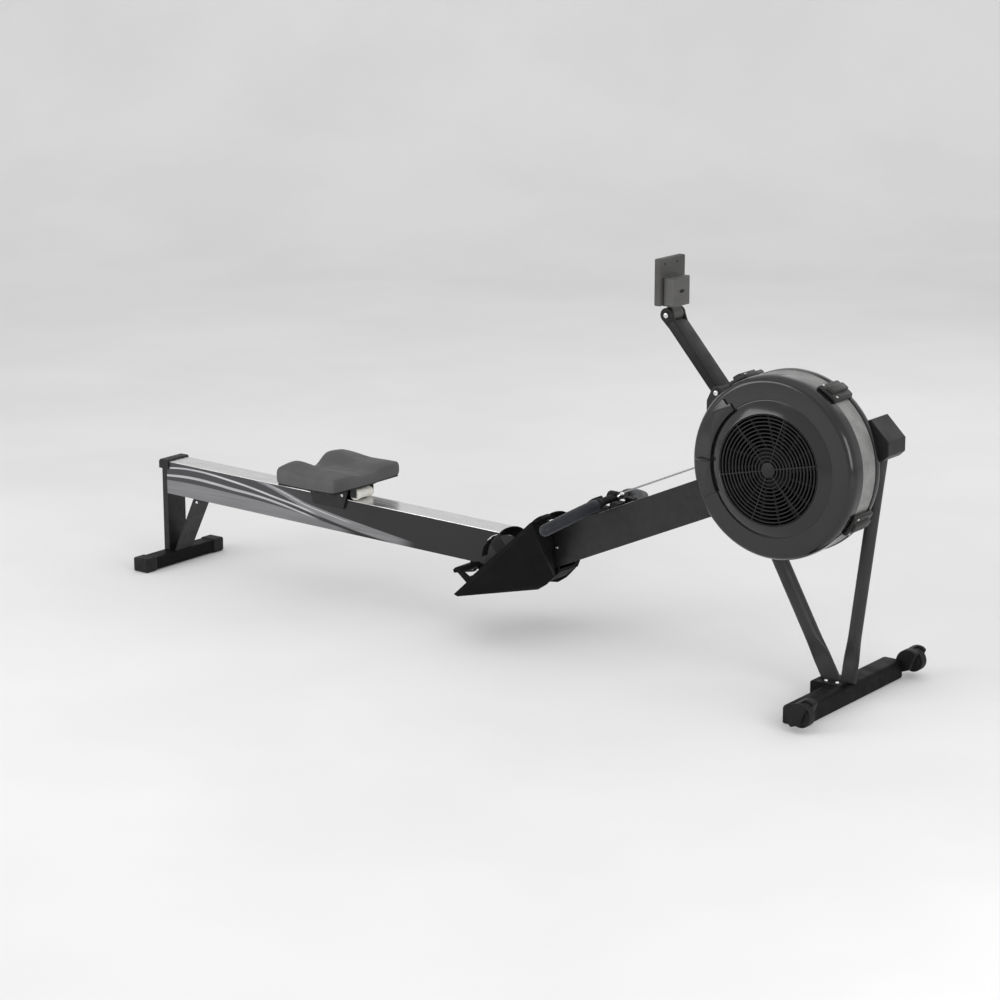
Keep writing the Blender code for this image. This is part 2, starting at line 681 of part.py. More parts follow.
# ---------------------------------------------------------------- handle and chain
def handle_path(start, end, steps):
    """Middle line of the handle between two values of y: straight in the middle, swept back outwards."""
    points = []
    for k in range(steps + 1):
        y = start + (end - start) * k / steps
        share = max(0.0, (abs(y) - 0.030) / (HANDLE_SPAN - 0.030))
        sweep = share ** 1.25
        points.append(Vector((HANDLE[0] + HANDLE_SWEEP[0] * sweep, y, HANDLE[1] + HANDLE_SWEEP[1] * sweep)))
    return points


def make_handle():
    core_radius = 0.0105
    grip_start = 0.072
    core = handle_path(-HANDLE_SPAN + 0.012, HANDLE_SPAN - 0.012, 20)
    swept("handle_bar", core, [core_radius] * len(core), black_plastic(), 14)
    boss = disc_x("boss", 0.0175, HANDLE[0] - 0.017, HANDLE[0] + 0.0085, 0.0, HANDLE[1], black_plastic())
    union(bpy.data.objects["handle_bar"], boss)
    for side, tag in ((-1, "right"), (1, "left")):
        outer = handle_path(side * grip_start, side * HANDLE_SPAN, 10)
        radii = [0.0150, 0.0168] + [0.0172] * 7 + [0.0165, 0.0120]
        grip = swept("grip_" + tag, outer, radii, navy_grip(), 16)
        inner = handle_path(side * (grip_start - 0.02), side * (HANDLE_SPAN - 0.0112), 12)
        bore = swept("bore", inner, [core_radius + 0.0005] * len(inner), navy_grip(), 14)
        cut(grip, bore)


def disc_x(name, radius, x_low, x_high, y, z, look, steps=20):
    """A round plate on an axis along X."""
    return turned(name, [(0.0, x_low), (radius, x_low), (radius, x_high), (0.0, x_high)],
                  (0.0, y, z), look, axis="X", steps=steps)


def chain_line():
    """The two ends of the visible chain: at the swivel and inside the chain guide."""
    lift = BEAM_DEPTH / 2 + CHAIN_LIFT
    near = REAR + 1.640
    far = REAR + 1.945
    return (near, 0.0, beam_point(near, lift)), (far, 0.0, beam_point(far, lift))


def make_chain():
    near, far = chain_line()
    start = Vector(near)
    ahead = (Vector(far) - start).normalized()
    builder = bmesh.new()
    up = Vector((-ahead.z, 0.0, ahead.x))
    corners = ((-0.0025, -0.0035), (0.0025, -0.0035), (0.0025, 0.0035), (-0.0025, 0.0035))
    rings = []
    for place in (start + ahead * 0.0006, Vector(far)):
        rings.append([builder.verts.new(place + Vector((0.0, side, 0.0)) + up * lift)
                      for side, lift in corners])
    for k in range(4):
        builder.faces.new([rings[0][k], rings[0][(k + 1) % 4], rings[1][(k + 1) % 4], rings[1][k]])
    builder.faces.new(rings[0])
    builder.faces.new(rings[1])
    add_object("chain", builder, bright_steel())
    eye = Vector((HANDLE[0] + 0.0135, 0.0, HANDLE[1] + 0.0012))
    swept("chain_swivel", [eye, start - ahead * 0.012, start], [0.0045, 0.0045, 0.0038], bright_steel(), 12)


def make_chain_guide():
    """A block on the beam that leads the chain down to the sprocket."""
    half = BEAM_DEPTH / 2
    x0, x1 = REAR + 1.925, REAR + 2.000
    lift = half + CHAIN_LIFT + 0.013
    outline = [(x0, beam_point(x0, half + GAP)), (x1, beam_point(x1, half + GAP)),
               (x1, beam_point(x1, lift - 0.004)), (x1 - 0.010, beam_point(x1 - 0.010, lift)),
               (x0 + 0.006, beam_point(x0 + 0.006, lift)), (x0, beam_point(x0, lift - 0.005))]
    guide = prism("chain_guide", outline, -0.0185, 0.0185, black_plastic(), bevel=0.0015)
    mid = (x0 + x1) / 2 - 0.018
    bore = block("bore", (mid, 0.0, beam_point(mid, half + CHAIN_LIFT)), (0.090, 0.0085, 0.0115),
                 black_plastic(), tilt=-BEAM_TILT)
    cut(guide, bore)


def make_handle_cradle():
    """Forked rest on the beam that the handle lies in."""
    half = BEAM_DEPTH / 2
    x0, x1 = REAR + 1.574, REAR + 1.650
    floor = HANDLE[1] - 0.0175
    outline = [(x0, beam_point(x0, half + GAP)), (x1, beam_point(x1, half + GAP)),
               (x1, beam_point(x1, half) + 0.006), (REAR + 1.634, HANDLE[1] - 0.001),
               (REAR + 1.6265, HANDLE[1] - 0.001), (REAR + 1.6245, floor + 0.002),
               (REAR + 1.604, floor - 0.0015), (x0 + 0.004, floor + 0.0005)]
    cradle = prism("handle_cradle", outline, -0.046, 0.046, black_plastic(), bevel=0.0012)
    cut(cradle, block("slot", (REAR + 1.612, 0.0, HANDLE[1]), (0.10, 0.044, 0.072), black_plastic()))


# ---------------------------------------------------------------- flywheel casing
def make_casing_shells():
    right = [(CONE_RADIUS, CASE_FRONT), (0.2140, CASE_FRONT), (0.2225, CASE_FRONT + 0.003),
             (0.2290, CASE_FRONT + 0.010), (CASE_RADIUS, CASE_FRONT + 0.021), (CASE_RADIUS, VENT_NEAR - GAP),
             (0.2250, VENT_NEAR - GAP), (0.2250, CASE_FRONT + 0.022), (0.2190, CASE_FRONT + 0.011),
             (0.2120, CASE_FRONT + 0.005), (0.1730, CASE_FRONT + 0.005), (0.1455, GRILLE_FACE + 0.0065),
             (GRILLE_RADIUS + GAP, GRILLE_FACE + 0.0065), (GRILLE_RADIUS + GAP, GRILLE_FACE)]
    turned("casing_right", right, (WHEEL_X, 0.0, WHEEL_Z), gloss_plastic(), steps=CASE_STEPS)
    left = [(0.0150, CASE_BACK), (0.0150, CASE_BACK - 0.004), (0.2210, CASE_BACK - 0.004),
            (0.2250, CASE_BACK - 0.008), (0.2250, VENT_FAR + GAP), (CASE_RADIUS, VENT_FAR + GAP),
            (CASE_RADIUS, CASE_BACK - 0.007), (0.2270, CASE_BACK)]
    turned("casing_left", left, (WHEEL_X, 0.0, WHEEL_Z), gloss_plastic(), steps=CASE_STEPS)
    disc("vent_band", 0.2295, VENT_NEAR, VENT_FAR, WHEEL_X, WHEEL_Z, vent_steel(), bore=0.2270,
         steps=CASE_STEPS)


def make_intake_grille():
    """Round grille of rings and spokes over a small middle disc, as one moulding."""
    rings = [0.0, 0.020, 0.034, 0.042, 0.058, 0.066, 0.082, 0.090, 0.106, 0.114, 0.128, GRILLE_RADIUS]
    solid = [True, False] * 6
    spokes = 6
    spoke = radians(5.0)
    edges = []
    for k in range(spokes):
        base = 2 * pi * k / spokes + radians(12.0)
        gap_step = (2 * pi / spokes - spoke) / 5
        edges.append((base, True))
        edges += [(base + spoke + gap_step * n, False) for n in range(5)]
    low, high = GRILLE_FACE + 0.0005, GRILLE_FACE + 0.0055
    builder = bmesh.new()
    cells = {}
    for band in range(len(rings) - 1):
        for place, (_, is_spoke) in enumerate(edges):
            cells[band, place] = solid[band] or is_spoke
    count = len(edges)

    def corner(ring, place, y):
        return builder.verts.new(axis_point(rings[ring], y, edges[place % count][0], "Y"))

    for (band, place), filled in cells.items():
        if not filled:
            continue
        for y in (low, high):
            quad = [corner(band, place, y), corner(band + 1, place, y), corner(band + 1, place + 1, y),
                    corner(band, place + 1, y)]
            if band == 0:
                quad = quad[:3]
            builder.faces.new(quad)
        sides = []
        if band > 0 and not cells[band - 1, place]:
            sides.append(((band, place), (band, place + 1)))
        if not cells.get((band + 1, place), False):
            sides.append(((band + 1, place), (band + 1, place + 1)))
        if not cells[band, (place - 1) % count]:
            sides.append(((band, place), (band + 1, place)))
        if not cells[band, (place + 1) % count]:
            sides.append(((band, place + 1), (band + 1, place + 1)))
        for (r0, p0), (r1, p1) in sides:
            builder.faces.new([corner(r0, p0, low), corner(r1, p1, low),
                               corner(r1, p1, high), corner(r0, p0, high)])
    bmesh.ops.translate(builder, verts=builder.verts, vec=(WHEEL_X, 0.0, WHEEL_Z))
    add_object("intake_grille", builder, black_plastic())


def make_damper_ring():
    """A sector that slides round the casing front under the rower's hand, with its lever."""
    y_back, y_front = CASE_FRONT - GAP, CASE_FRONT - 0.0048
    start, end = 128.0, 207.0
    inner, outer = 0.1725, 0.2125
    wheel = (WHEEL_X, WHEEL_Z)
    outline = arc(wheel, outer, start, end, 14) + arc(wheel, inner, end, start, 14)
    ring = prism("damper_ring", outline, y_front, y_back, gloss_plastic())
    lever_angle = radians(180.0)
    tilt = Vector((cos(lever_angle), 0.0, sin(lever_angle)))
    root = Vector((WHEEL_X, y_front - 0.0028, WHEEL_Z)) + tilt * 0.178
    tip = Vector((WHEEL_X, y_front - 0.0058, WHEEL_Z)) + tilt * 0.211
    lever = swept("lever", [root, root + (tip - root) * 0.5, tip], [0.0070, 0.0070, 0.0050],
                  gloss_plastic(), 12, [(0.6, 1.0)] * 3)
    union(ring, lever)


def make_casing_clamps():
    """Moulded straps across the vent band that draw the two shells together."""
    for number, angle in enumerate(CLAMP_ANGLES, start=1):
        half = 7.6
        reach = CASE_RADIUS + 0.0115
        outline = (arc((WHEEL_X, WHEEL_Z), CASE_RADIUS + 0.0010, angle + half, angle - half, 5)
                   + arc((WHEEL_X, WHEEL_Z), reach, angle - half + 1.4, angle + half - 1.4, 5))
        strap = prism("casing_clamp_" + str(number), outline, VENT_NEAR - 0.012, VENT_FAR + 0.012,
                      black_plastic(), bevel=0.002)
        crown = (arc((WHEEL_X, WHEEL_Z), reach - 0.004, angle + 3.2, angle - 3.2, 4)
                 + arc((WHEEL_X, WHEEL_Z), reach + 0.0070, angle - 2.4, angle + 2.4, 4))
        union(strap, prism("crown", crown, VENT_NEAR - 0.006, VENT_FAR + 0.006, black_plastic(),
                           bevel=0.0015))


def make_flywheel():
    """Bladed fan, the axle it turns with, its two bearings and the chain sprocket inside the beam."""
    blades = 16
    hub, tip, blade_half = 0.052, 0.160, 0.0035
    outline = []
    for k in range(blades):
        angle = 2 * pi * k / blades
        for radius, side in ((hub, -1), (tip, -1), (tip, 1), (hub, 1)):
            lean = angle + side * blade_half / radius + (0.16 if radius == tip else 0.0)
            outline.append((WHEEL_X + radius * cos(lean), WHEEL_Z + radius * sin(lean)))
    fan = prism("flywheel", outline, -0.165, -0.075, black_paint())
    union(fan, disc("back_plate", 0.165, -0.0755, -0.0700, WHEEL_X, WHEEL_Z, black_paint(), steps=40))
    cut(fan, disc("bore", AXLE_RADIUS + GAP, -0.2, 0.1, WHEEL_X, WHEEL_Z, black_paint(), steps=20))
    disc("flywheel_axle", AXLE_RADIUS, -0.170, 0.0475, WHEEL_X, WHEEL_Z, bright_steel(), steps=20)
    for tag, low, high in (("right", -0.0405, -0.0325), ("left", 0.0325, 0.0405)):
        disc("axle_bearing_" + tag, BEARING_RADIUS, low, high, WHEEL_X, WHEEL_Z, bright_steel(),
             bore=AXLE_RADIUS + GAP, steps=20)
    teeth = 14
    outline = []
    for k in range(teeth):
        angle = 2 * pi * k / teeth
        for share, radius in ((-0.30, 0.0262), (-0.14, 0.0300), (0.14, 0.0300), (0.30, 0.0262)):
            turn = angle + share * 2 * pi / teeth
            outline.append((WHEEL_X + radius * cos(turn), WHEEL_Z + radius * sin(turn)))
    sprocket = prism("sprocket", outline, -0.0030, 0.0030, bright_steel())
    cut(sprocket, disc("bore", AXLE_RADIUS + GAP, -0.1, 0.1, WHEEL_X, WHEEL_Z, bright_steel(), steps=20))


# ---------------------------------------------------------------- monitor
def make_arm_bracket():
    """Channel that stands on the beam beside the casing and holds the monitor arm's hinge."""
    half = BEAM_DEPTH / 2
    px, pz = ARM_PIVOT
    base0, base1 = REAR + 1.925, REAR + 2.035
    outline = [(base0, beam_point(base0, half + GAP)), (base1, beam_point(base1, half + GAP)),
               (REAR + 1.985, pz - 0.075), (px + 0.0195, pz - 0.024)]
    outline += arc((px, pz), 0.0175, -20, 170, 8)
    outline += [(px - 0.0290, pz - 0.022), (px - 0.0290, pz - 0.060)]
    bracket = prism("arm_bracket", outline, -0.0385, 0.0385, black_paint(), bevel=0.0015)
    mouth = prism("mouth", [(px - 0.05, pz - 0.026), (px + 0.024, pz - 0.026), (px + 0.05, pz + 0.01),
                            (px + 0.05, pz + 0.05), (px - 0.05, pz + 0.05)],
                  -ARM_WIDTH / 2 - 0.0008, ARM_WIDTH / 2 + 0.0008, black_paint())
    cut(bracket, mouth)
    cut(bracket, disc("bore", 0.0045, -0.05, 0.05, px, pz, black_paint(), steps=16))
    rear, front, roof = REAR + 1.90, REAR + 2.10, pz - 0.066
    tunnel = prism("tunnel", [(rear, beam_point(rear, 0.0)), (front, beam_point(front, 0.0)), (front, roof),
                              (rear, roof)], -0.0345, 0.0345, black_paint())
    cut(bracket, tunnel)


def make_monitor_arm():
    """Flat arm with a knuckle at each end."""
    px, pz = ARM_PIVOT
    mx, mz = MONITOR_PIVOT
    run = Vector((mx - px, 0.0, mz - pz))
    along = run.normalized()
    across = Vector((-along.z, 0.0, along.x))
    low = Vector((px, 0.0, pz)) + along * 0.010
    high = Vector((mx, 0.0, mz)) - along * 0.004
    corners = [low - across * ARM_ABOVE, high - across * ARM_ABOVE,
               high + across * ARM_BELOW, low + across * ARM_BELOW]
    outline = [(corner.x, corner.z) for corner in corners]
    arm = prism("monitor_arm", outline, -ARM_WIDTH / 2, ARM_WIDTH / 2, black_paint())
    union(arm, disc("low_knuckle", 0.0155, -ARM_WIDTH / 2, ARM_WIDTH / 2, px, pz, black_paint(), steps=24))
    notch = disc("notch", 0.0205, -0.0226, 0.0226, mx, mz, black_paint(), steps=24)
    cut(arm, notch)
    for side in (-1, 1):
        ear = disc("ear", EAR_RADIUS, *sorted((side * 0.0228, side * ARM_WIDTH / 2)), mx, mz, black_paint(),
                   steps=28)
        union(arm, ear)
    for x, z in (ARM_PIVOT, MONITOR_PIVOT):
        cut(arm, disc("bore", 0.0045, -0.05, 0.05, x, z, black_paint(), steps=16))
    bolts = (("lower_pivot_bolt", ARM_PIVOT, 0.0385), ("upper_pivot_bolt", MONITOR_PIVOT, 0.0310))
    for name, (x, z), reach in bolts:
        pin, head = 0.0041, 0.0075
        profile = [(0.0, -reach - 0.005), (head, -reach - 0.005), (head, -reach - GAP), (pin, -reach - GAP),
                   (pin, reach + GAP), (head, reach + GAP), (head, reach + 0.005), (0.0, reach + 0.005)]
        turned(name, profile, (x, 0.0, z), bright_steel(), steps=16)


def make_monitor():
    """Display unit: slim housing with a battery box behind it, on a knuckle between the arm's ears."""
    mx, mz = MONITOR_PIVOT
    front, back = mx - 0.021, mx - 0.002
    low, high = mz + 0.026, mz + 0.147
    housing = block("monitor_housing", ((front + back) / 2, 0.0, (low + high) / 2),
                    (back - front, 0.116, high - low), monitor_plastic(), bevel=0.003)
    stem = block("stem", (mx + 0.004, 0.0, mz + 0.018), (0.018, 0.040, 0.030), monitor_plastic())
    knuckle = disc("knuckle", 0.0185, -0.0218, 0.0218, mx, mz, monitor_plastic(), steps=28)
    union(housing, stem, knuckle)
    cut(housing, disc("bore", 0.0045, -0.05, 0.05, mx, mz, monitor_plastic(), steps=16))
    recess = block("recess", (front, 0.0, mz + 0.100), (0.006, 0.092, 0.062), monitor_plastic())
    cut(housing, recess)
    for y in BUTTON_Y:
        cut(housing, block("key_hole", (front, y, mz + 0.046), (0.010, 0.0216, 0.0116), monitor_plastic()))
        block("monitor_button_" + str(BUTTON_Y.index(y) + 1), (front + 0.0010, y, mz + 0.046),
              (0.0052, 0.0208, 0.0108), black_rubber(), bevel=0.0010)
    block("monitor_screen", (front + 0.0022, 0.0, mz + 0.100), (0.0012, 0.091, 0.061), screen_glass())
    box = block("battery_cover", (back + 0.0182, -0.0095, mz + 0.0625), (0.0355, 0.071, 0.073),
                monitor_plastic(), bevel=0.003)
    cut(box, block("hollow", (back - 0.001, -0.0095, mz + 0.0625), (0.050, 0.063, 0.064), monitor_plastic()))
    cut(box, block("stem_room", (mx + 0.006, 0.0, mz + 0.028), (0.030, 0.043, 0.016), monitor_plastic()))


# ---------------------------------------------------------------- seat
def smooth_step(share):
    share = min(max(share, 0.0), 1.0)
    return share * share * (3.0 - 2.0 * share)


def seat_height(u, v):
    """Height of the seat's top over its base: u from rear to front, v from side to side, both -1 to 1."""
    crest = smooth_step((abs(v) - 0.12) / 0.42)
    rear = smooth_step(0.15 - 0.95 * u)
    roll = 1.0 - 0.30 * smooth_step((abs(v) - 0.55) / 0.45)
    return 0.039 + 0.010 * crest + rear * (0.016 * crest * roll - 0.005 * (1.0 - crest))


def make_seat_pad():
    """Moulded saddle: dished, raised at the two rear lobes, with a notch between them."""
    across, along = 14, 10
    builder = bmesh.new()
    top, base = {}, {}
    for i in range(along + 1):
        for j in range(across + 1):
            u, v = 2 * i / along - 1, 2 * j / across - 1
            round_u = u * (1 - 0.045 * abs(v) ** 4)
            round_v = v * (1 - 0.040 * abs(u) ** 4)
            edge = max(abs(u), abs(v)) ** 6
            x = SEAT_X + round_u * SEAT_LENGTH / 2
            y = round_v * SEAT_WIDTH / 2
            top[i, j] = builder.verts.new((x, y, SEAT_BASE_Z + seat_height(u, v) - (0.009 - 0.002 * u) * edge))
            base[i, j] = builder.verts.new((x, y * 0.97, SEAT_BASE_Z))
    for layer, flip in ((top, False), (base, True)):
        for i in range(along):
            for j in range(across):
                quad = [layer[i, j], layer[i + 1, j], layer[i + 1, j + 1], layer[i, j + 1]]
                builder.faces.new(quad[::-1] if flip else quad)
    for i in range(along):
        for j in (0, across):
            builder.faces.new([top[i, j], top[i + 1, j], base[i + 1, j], base[i, j]])
    for j in range(across):
        for i in (0, along):
            builder.faces.new([top[i, j], top[i, j + 1], base[i, j + 1], base[i, j]])
    add_object("seat_pad", builder, seat_foam())


def track_height(x):
    return rail_point(x - REAR)[1]


def make_seat_carriage():
    """Pressed carriage: a top plate, cheeks down both sides of the rail and the roller axles."""
    plate_top = SEAT_BASE_Z - GAP
    plate = block("seat_carriage", (SEAT_X, 0.0, plate_top - 0.0012), (0.196, 0.096, 0.0024), black_paint())
    for side in (-1, 1):
        cheek = prism("cheek", [(SEAT_X - 0.075, plate_top - 0.002), (SEAT_X - 0.055, plate_top - 0.064),
                                (SEAT_X + 0.055, plate_top - 0.066), (SEAT_X + 0.075, plate_top - 0.002)],
                      *sorted((side * 0.0435, side * 0.0470)), black_paint())
        union(plate, cheek)
    for end in (-1, 1):
        x = SEAT_X + end * ROLLER_OFFSET
        z = track_height(x) + ROLLER_RADIUS + GAP
        axle = disc("axle", 0.0045, -0.0400, 0.0400, x, z, black_paint(), steps=12)
        for side in (-1, 1):
            low, high = sorted((side * 0.0360, side * 0.0400))
            outline = [(x - 0.010, z - 0.007), (x + 0.010, z - 0.007), (x + 0.0100, plate_top - 0.001),
                       (x - 0.0100, plate_top - 0.001)]
            union(axle, prism("hanger", outline, low, high, black_paint()))
        union(plate, axle)
        tag = "front" if end > 0 else "rear"
        rim = ROLLER_RADIUS - 0.0020
        spool = [(0.0050, -0.0345), (rim, -0.0345), (ROLLER_RADIUS, -0.0325), (ROLLER_RADIUS, 0.0325),
                 (rim, 0.0345), (0.0050, 0.0345)]
        turned("seat_roller_" + tag, spool, (x, 0.0, z), white_nylon(), steps=24)


# ---------------------------------------------------------------- build
def set_origin(name, point):
    """Put a moving piece's origin on its joint axis."""
    piece = bpy.data.objects[name]
    piece.data.transform(Matrix.Translation(-Vector(point)))
    piece.location = point


def set_origins():
    wheel = (WHEEL_X, 0.0, WHEEL_Z)
    for name in ("flywheel", "flywheel_axle", "sprocket", "damper_ring"):
        set_origin(name, wheel)
    set_origin("monitor_arm", (ARM_PIVOT[0], 0.0, ARM_PIVOT[1]))
    for name in ("monitor_housing", "battery_cover", "monitor_screen"):
        set_origin(name, (MONITOR_PIVOT[0], 0.0, MONITOR_PIVOT[1]))
    set_origin("caster_wheel_right", (CASTER_X, -CASTER_Y, CASTER_Z))
    set_origin("caster_wheel_left", (CASTER_X, CASTER_Y, CASTER_Z))
    set_origin("frame_lock_lever", (LOCK_PIVOT[0], 0.0, LOCK_PIVOT[1]))
    for name in ("handle_bar", "grip_right", "grip_left", "chain_swivel"):
        set_origin(name, (HANDLE[0], 0.0, HANDLE[1]))


def main():
    for old in list(bpy.data.objects):
        bpy.data.objects.remove(old)
    make_monorail()
    make_seat_track()
    make_rail_end_cap()
    make_rear_stand()
    make_main_beam()
    make_beam_end_cap()
    make_front_legs()
    make_front_foot()
    make_casters()
    make_footrest_bracket()
    make_footboards()
    make_heel_cups()
    make_foot_straps()
    make_frame_lock()
    make_handle()
    make_chain()
    make_chain_guide()
    make_handle_cradle()
    make_casing_shells()
    make_intake_grille()
    make_damper_ring()
    make_casing_clamps()
    make_flywheel()
    make_arm_bracket()
    make_monitor_arm()
    make_monitor()
    make_seat_pad()
    make_seat_carriage()
    set_origins()


main()
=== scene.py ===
"""Looks for the rowing machine: finer shape, procedural materials, soft parts, floor, light, camera.

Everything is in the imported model's frame: metres, +Z up, +X towards the flywheel, +Y the rower's left.
"""
import json
from math import atan2, cos, pi, radians, sin, sqrt, tan

import bmesh
import bpy
from mathutils import Matrix, Vector


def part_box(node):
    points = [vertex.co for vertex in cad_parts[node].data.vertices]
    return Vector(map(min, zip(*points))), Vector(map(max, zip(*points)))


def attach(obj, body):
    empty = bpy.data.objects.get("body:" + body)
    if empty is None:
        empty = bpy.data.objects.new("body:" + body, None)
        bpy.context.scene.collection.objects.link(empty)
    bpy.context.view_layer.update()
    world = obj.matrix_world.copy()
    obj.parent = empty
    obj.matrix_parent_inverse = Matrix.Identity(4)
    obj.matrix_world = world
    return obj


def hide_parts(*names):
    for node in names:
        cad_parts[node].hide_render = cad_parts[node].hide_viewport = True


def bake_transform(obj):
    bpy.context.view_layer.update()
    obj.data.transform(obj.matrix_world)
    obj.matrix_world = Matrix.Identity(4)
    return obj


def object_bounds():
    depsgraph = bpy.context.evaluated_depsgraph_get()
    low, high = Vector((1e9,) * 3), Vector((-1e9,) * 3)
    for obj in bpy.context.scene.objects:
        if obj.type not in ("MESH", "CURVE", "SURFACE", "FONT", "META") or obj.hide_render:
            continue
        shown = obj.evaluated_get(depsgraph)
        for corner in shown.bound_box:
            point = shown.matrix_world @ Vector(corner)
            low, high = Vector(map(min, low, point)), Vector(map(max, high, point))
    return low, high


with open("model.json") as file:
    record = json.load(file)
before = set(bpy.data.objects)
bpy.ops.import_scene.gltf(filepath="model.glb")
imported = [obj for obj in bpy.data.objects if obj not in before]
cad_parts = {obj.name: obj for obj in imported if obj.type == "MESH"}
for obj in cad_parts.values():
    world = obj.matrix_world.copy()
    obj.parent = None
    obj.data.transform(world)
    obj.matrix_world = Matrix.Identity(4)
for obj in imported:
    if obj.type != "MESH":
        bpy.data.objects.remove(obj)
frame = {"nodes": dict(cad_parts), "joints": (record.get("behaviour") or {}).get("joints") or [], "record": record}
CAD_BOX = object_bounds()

NODES = frame["nodes"]
JOINTS = {joint["name"]: joint for joint in frame["joints"]}


def pivot_of(joint):
    x, _, z = JOINTS[joint]["pos_m"]
    return x, z


# The same sizes as the solids have.
REAR = CAD_BOX[0].x
WHEEL_X, WHEEL_Z = pivot_of("flywheel_spin")
ARM_X, ARM_Z = pivot_of("arm_fold")
TILT_X, TILT_Z = pivot_of("monitor_tilt")
RAIL_HALF = 0.0395
RAIL_LENGTH = 1.35
BEAM_TILT = radians(23.75)
BEAM_MID_Z = 0.5976
BEAM_DEPTH = 0.1016
HEEL = (REAR + 1.196, 0.128)
TOE = (REAR + 1.452, 0.367)
HANDLE_X, HANDLE_Z = REAR + 1.607, 0.425
HANDLE_SPAN = 0.241
CHAIN_LIFT = 0.031  # above the beam's top
SIDES = ((-1, "right"), (1, "left"))


# ---------------------------------------------------------------- materials
COAT_ROUGHNESS = 0.12
EDGE_WEAR = 0.35


class Look:
    """A node material built up from helpers; each helper returns an output socket."""

    def __init__(self, name, roughness, metallic=0.0, coat=0.0, sheen=0.0, specular=0.5):
        self.material = bpy.data.materials.new(name)
        self.material.use_nodes = True
        self.tree = self.material.node_tree
        self.shader = self.tree.nodes["Principled BSDF"]
        settings = {"Metallic": metallic, "Roughness": roughness, "Coat Weight": coat,
                    "Coat Roughness": COAT_ROUGHNESS, "Sheen Weight": sheen, "Specular IOR Level": specular}
        for socket, value in settings.items():
            self.shader.inputs[socket].default_value = value
        self.place = self.tree.nodes.new("ShaderNodeTexCoord").outputs["Object"]

    def feed(self, socket, value):
        if isinstance(value, bpy.types.NodeSocket):
            self.tree.links.new(value, socket)
        else:
            socket.default_value = value

    def maths(self, operation, *values):
        node = self.tree.nodes.new("ShaderNodeMath")
        node.operation = operation
        for socket, value in zip(node.inputs, values):
            self.feed(socket, value)
        return node.outputs[0]

    def times(self, first, second):
        return self.maths("MULTIPLY", first, second)

    def minus(self, first, second):
        return self.maths("SUBTRACT", first, second)

    def placed(self, kind, source=None, **settings):
        """A node that takes a position, with its other inputs set by name."""
        node = self.tree.nodes.new(kind)
        self.feed(node.inputs["Vector"], source or self.place)
        for socket, value in settings.items():
            node.inputs[socket].default_value = value
        return node.outputs

    def stretched(self, scale):
        return self.placed("ShaderNodeMapping", Scale=scale)[0]

    def split(self):
        return self.placed("ShaderNodeSeparateXYZ")

    def noise(self, scale, detail=3.0, source=None, roughness=0.5):
        settings = {"Scale": scale, "Detail": detail, "Roughness": roughness}
        return self.placed("ShaderNodeTexNoise", source, **settings)["Fac"]

    def cells(self, scale, source=None, randomness=1.0):
        return self.placed("ShaderNodeTexVoronoi", source, Scale=scale, Randomness=randomness)["Distance"]

    def spread(self, value, low, high, to_low=0.0, to_high=1.0):
        node = self.tree.nodes.new("ShaderNodeMapRange")
        node.interpolation_type = "SMOOTHSTEP"
        for socket, amount in zip(node.inputs, (value, low, high, to_low, to_high)):
            self.feed(socket, amount)
        return node.outputs[0]

    def patches(self, scale, detail, low=0.3, high=0.7, to_low=0.0, to_high=1.0):
        """Soft clouds that run from to_low to to_high."""
        return self.spread(self.noise(scale, detail), low, high, to_low, to_high)

    def blend(self, share, first, second):
        node = self.tree.nodes.new("ShaderNodeMix")
        node.data_type = "RGBA"
        self.feed(node.inputs[0], share)
        for index, colour in ((6, first), (7, second)):
            is_socket = isinstance(colour, bpy.types.NodeSocket)
            self.feed(node.inputs[index], colour if is_socket else (*colour, 1.0))
        return node.outputs[2]

    def edges(self):
        """How sharply the surface turns outwards, 0 on flats and 1 on worn edges."""
        geometry = self.tree.nodes.new("ShaderNodeNewGeometry")
        return self.spread(geometry.outputs["Pointiness"], 0.52, 0.62)

    def colour(self, value):
        self.feed(self.shader.inputs["Base Color"], value)

    def rough(self, value):
        self.feed(self.shader.inputs["Roughness"], value)

    def bump(self, height, depth, strength=1.0):
        node = self.tree.nodes.new("ShaderNodeBump")
        node.inputs["Strength"].default_value = strength
        node.inputs["Distance"].default_value = depth
        self.feed(node.inputs["Height"], height)
        self.feed(self.shader.inputs["Normal"], node.outputs[0])


def shade(colour, factor):
    return tuple(min(1.0, c * factor) for c in colour)


def powder_coat(name, colour, roughness, specular):
    """Sprayed and baked paint: fine orange peel, faint dust and slightly paler edges."""
    look = Look(name, roughness, specular=specular)
    dusty = look.blend(look.patches(9.0, 5.0, 0.35, 0.75), colour, shade(colour, 1.35))
    worn = look.times(look.edges(), look.patches(60.0, 4.0, 0.35, 0.65))
    worn = look.times(worn, EDGE_WEAR)
    look.colour(look.blend(worn, dusty, shade(colour, 3.2)))
    look.rough(look.patches(25.0, 4.0, 0.3, 0.7, roughness - 0.06, roughness + 0.08))
    look.bump(look.noise(520.0, 2.0), 0.00022)
    return look.material


def moulded(name, colour, roughness, grain=1400.0, depth=0.0002, specular=0.3):
    """Injection-moulded plastic with a spark-eroded grain and faint flow marks."""
    look = Look(name, roughness, specular=specular)
    flow = look.noise(6.0, 3.0, look.stretched((1.0, 1.0, 3.0)))
    look.colour(look.blend(look.spread(flow, 0.3, 0.7), shade(colour, 0.9), shade(colour, 1.18)))
    look.rough(look.patches(18.0, 5.0, 0.3, 0.7, roughness - 0.05, roughness + 0.08))
    look.bump(look.cells(grain), depth, 0.5)
    return look.material


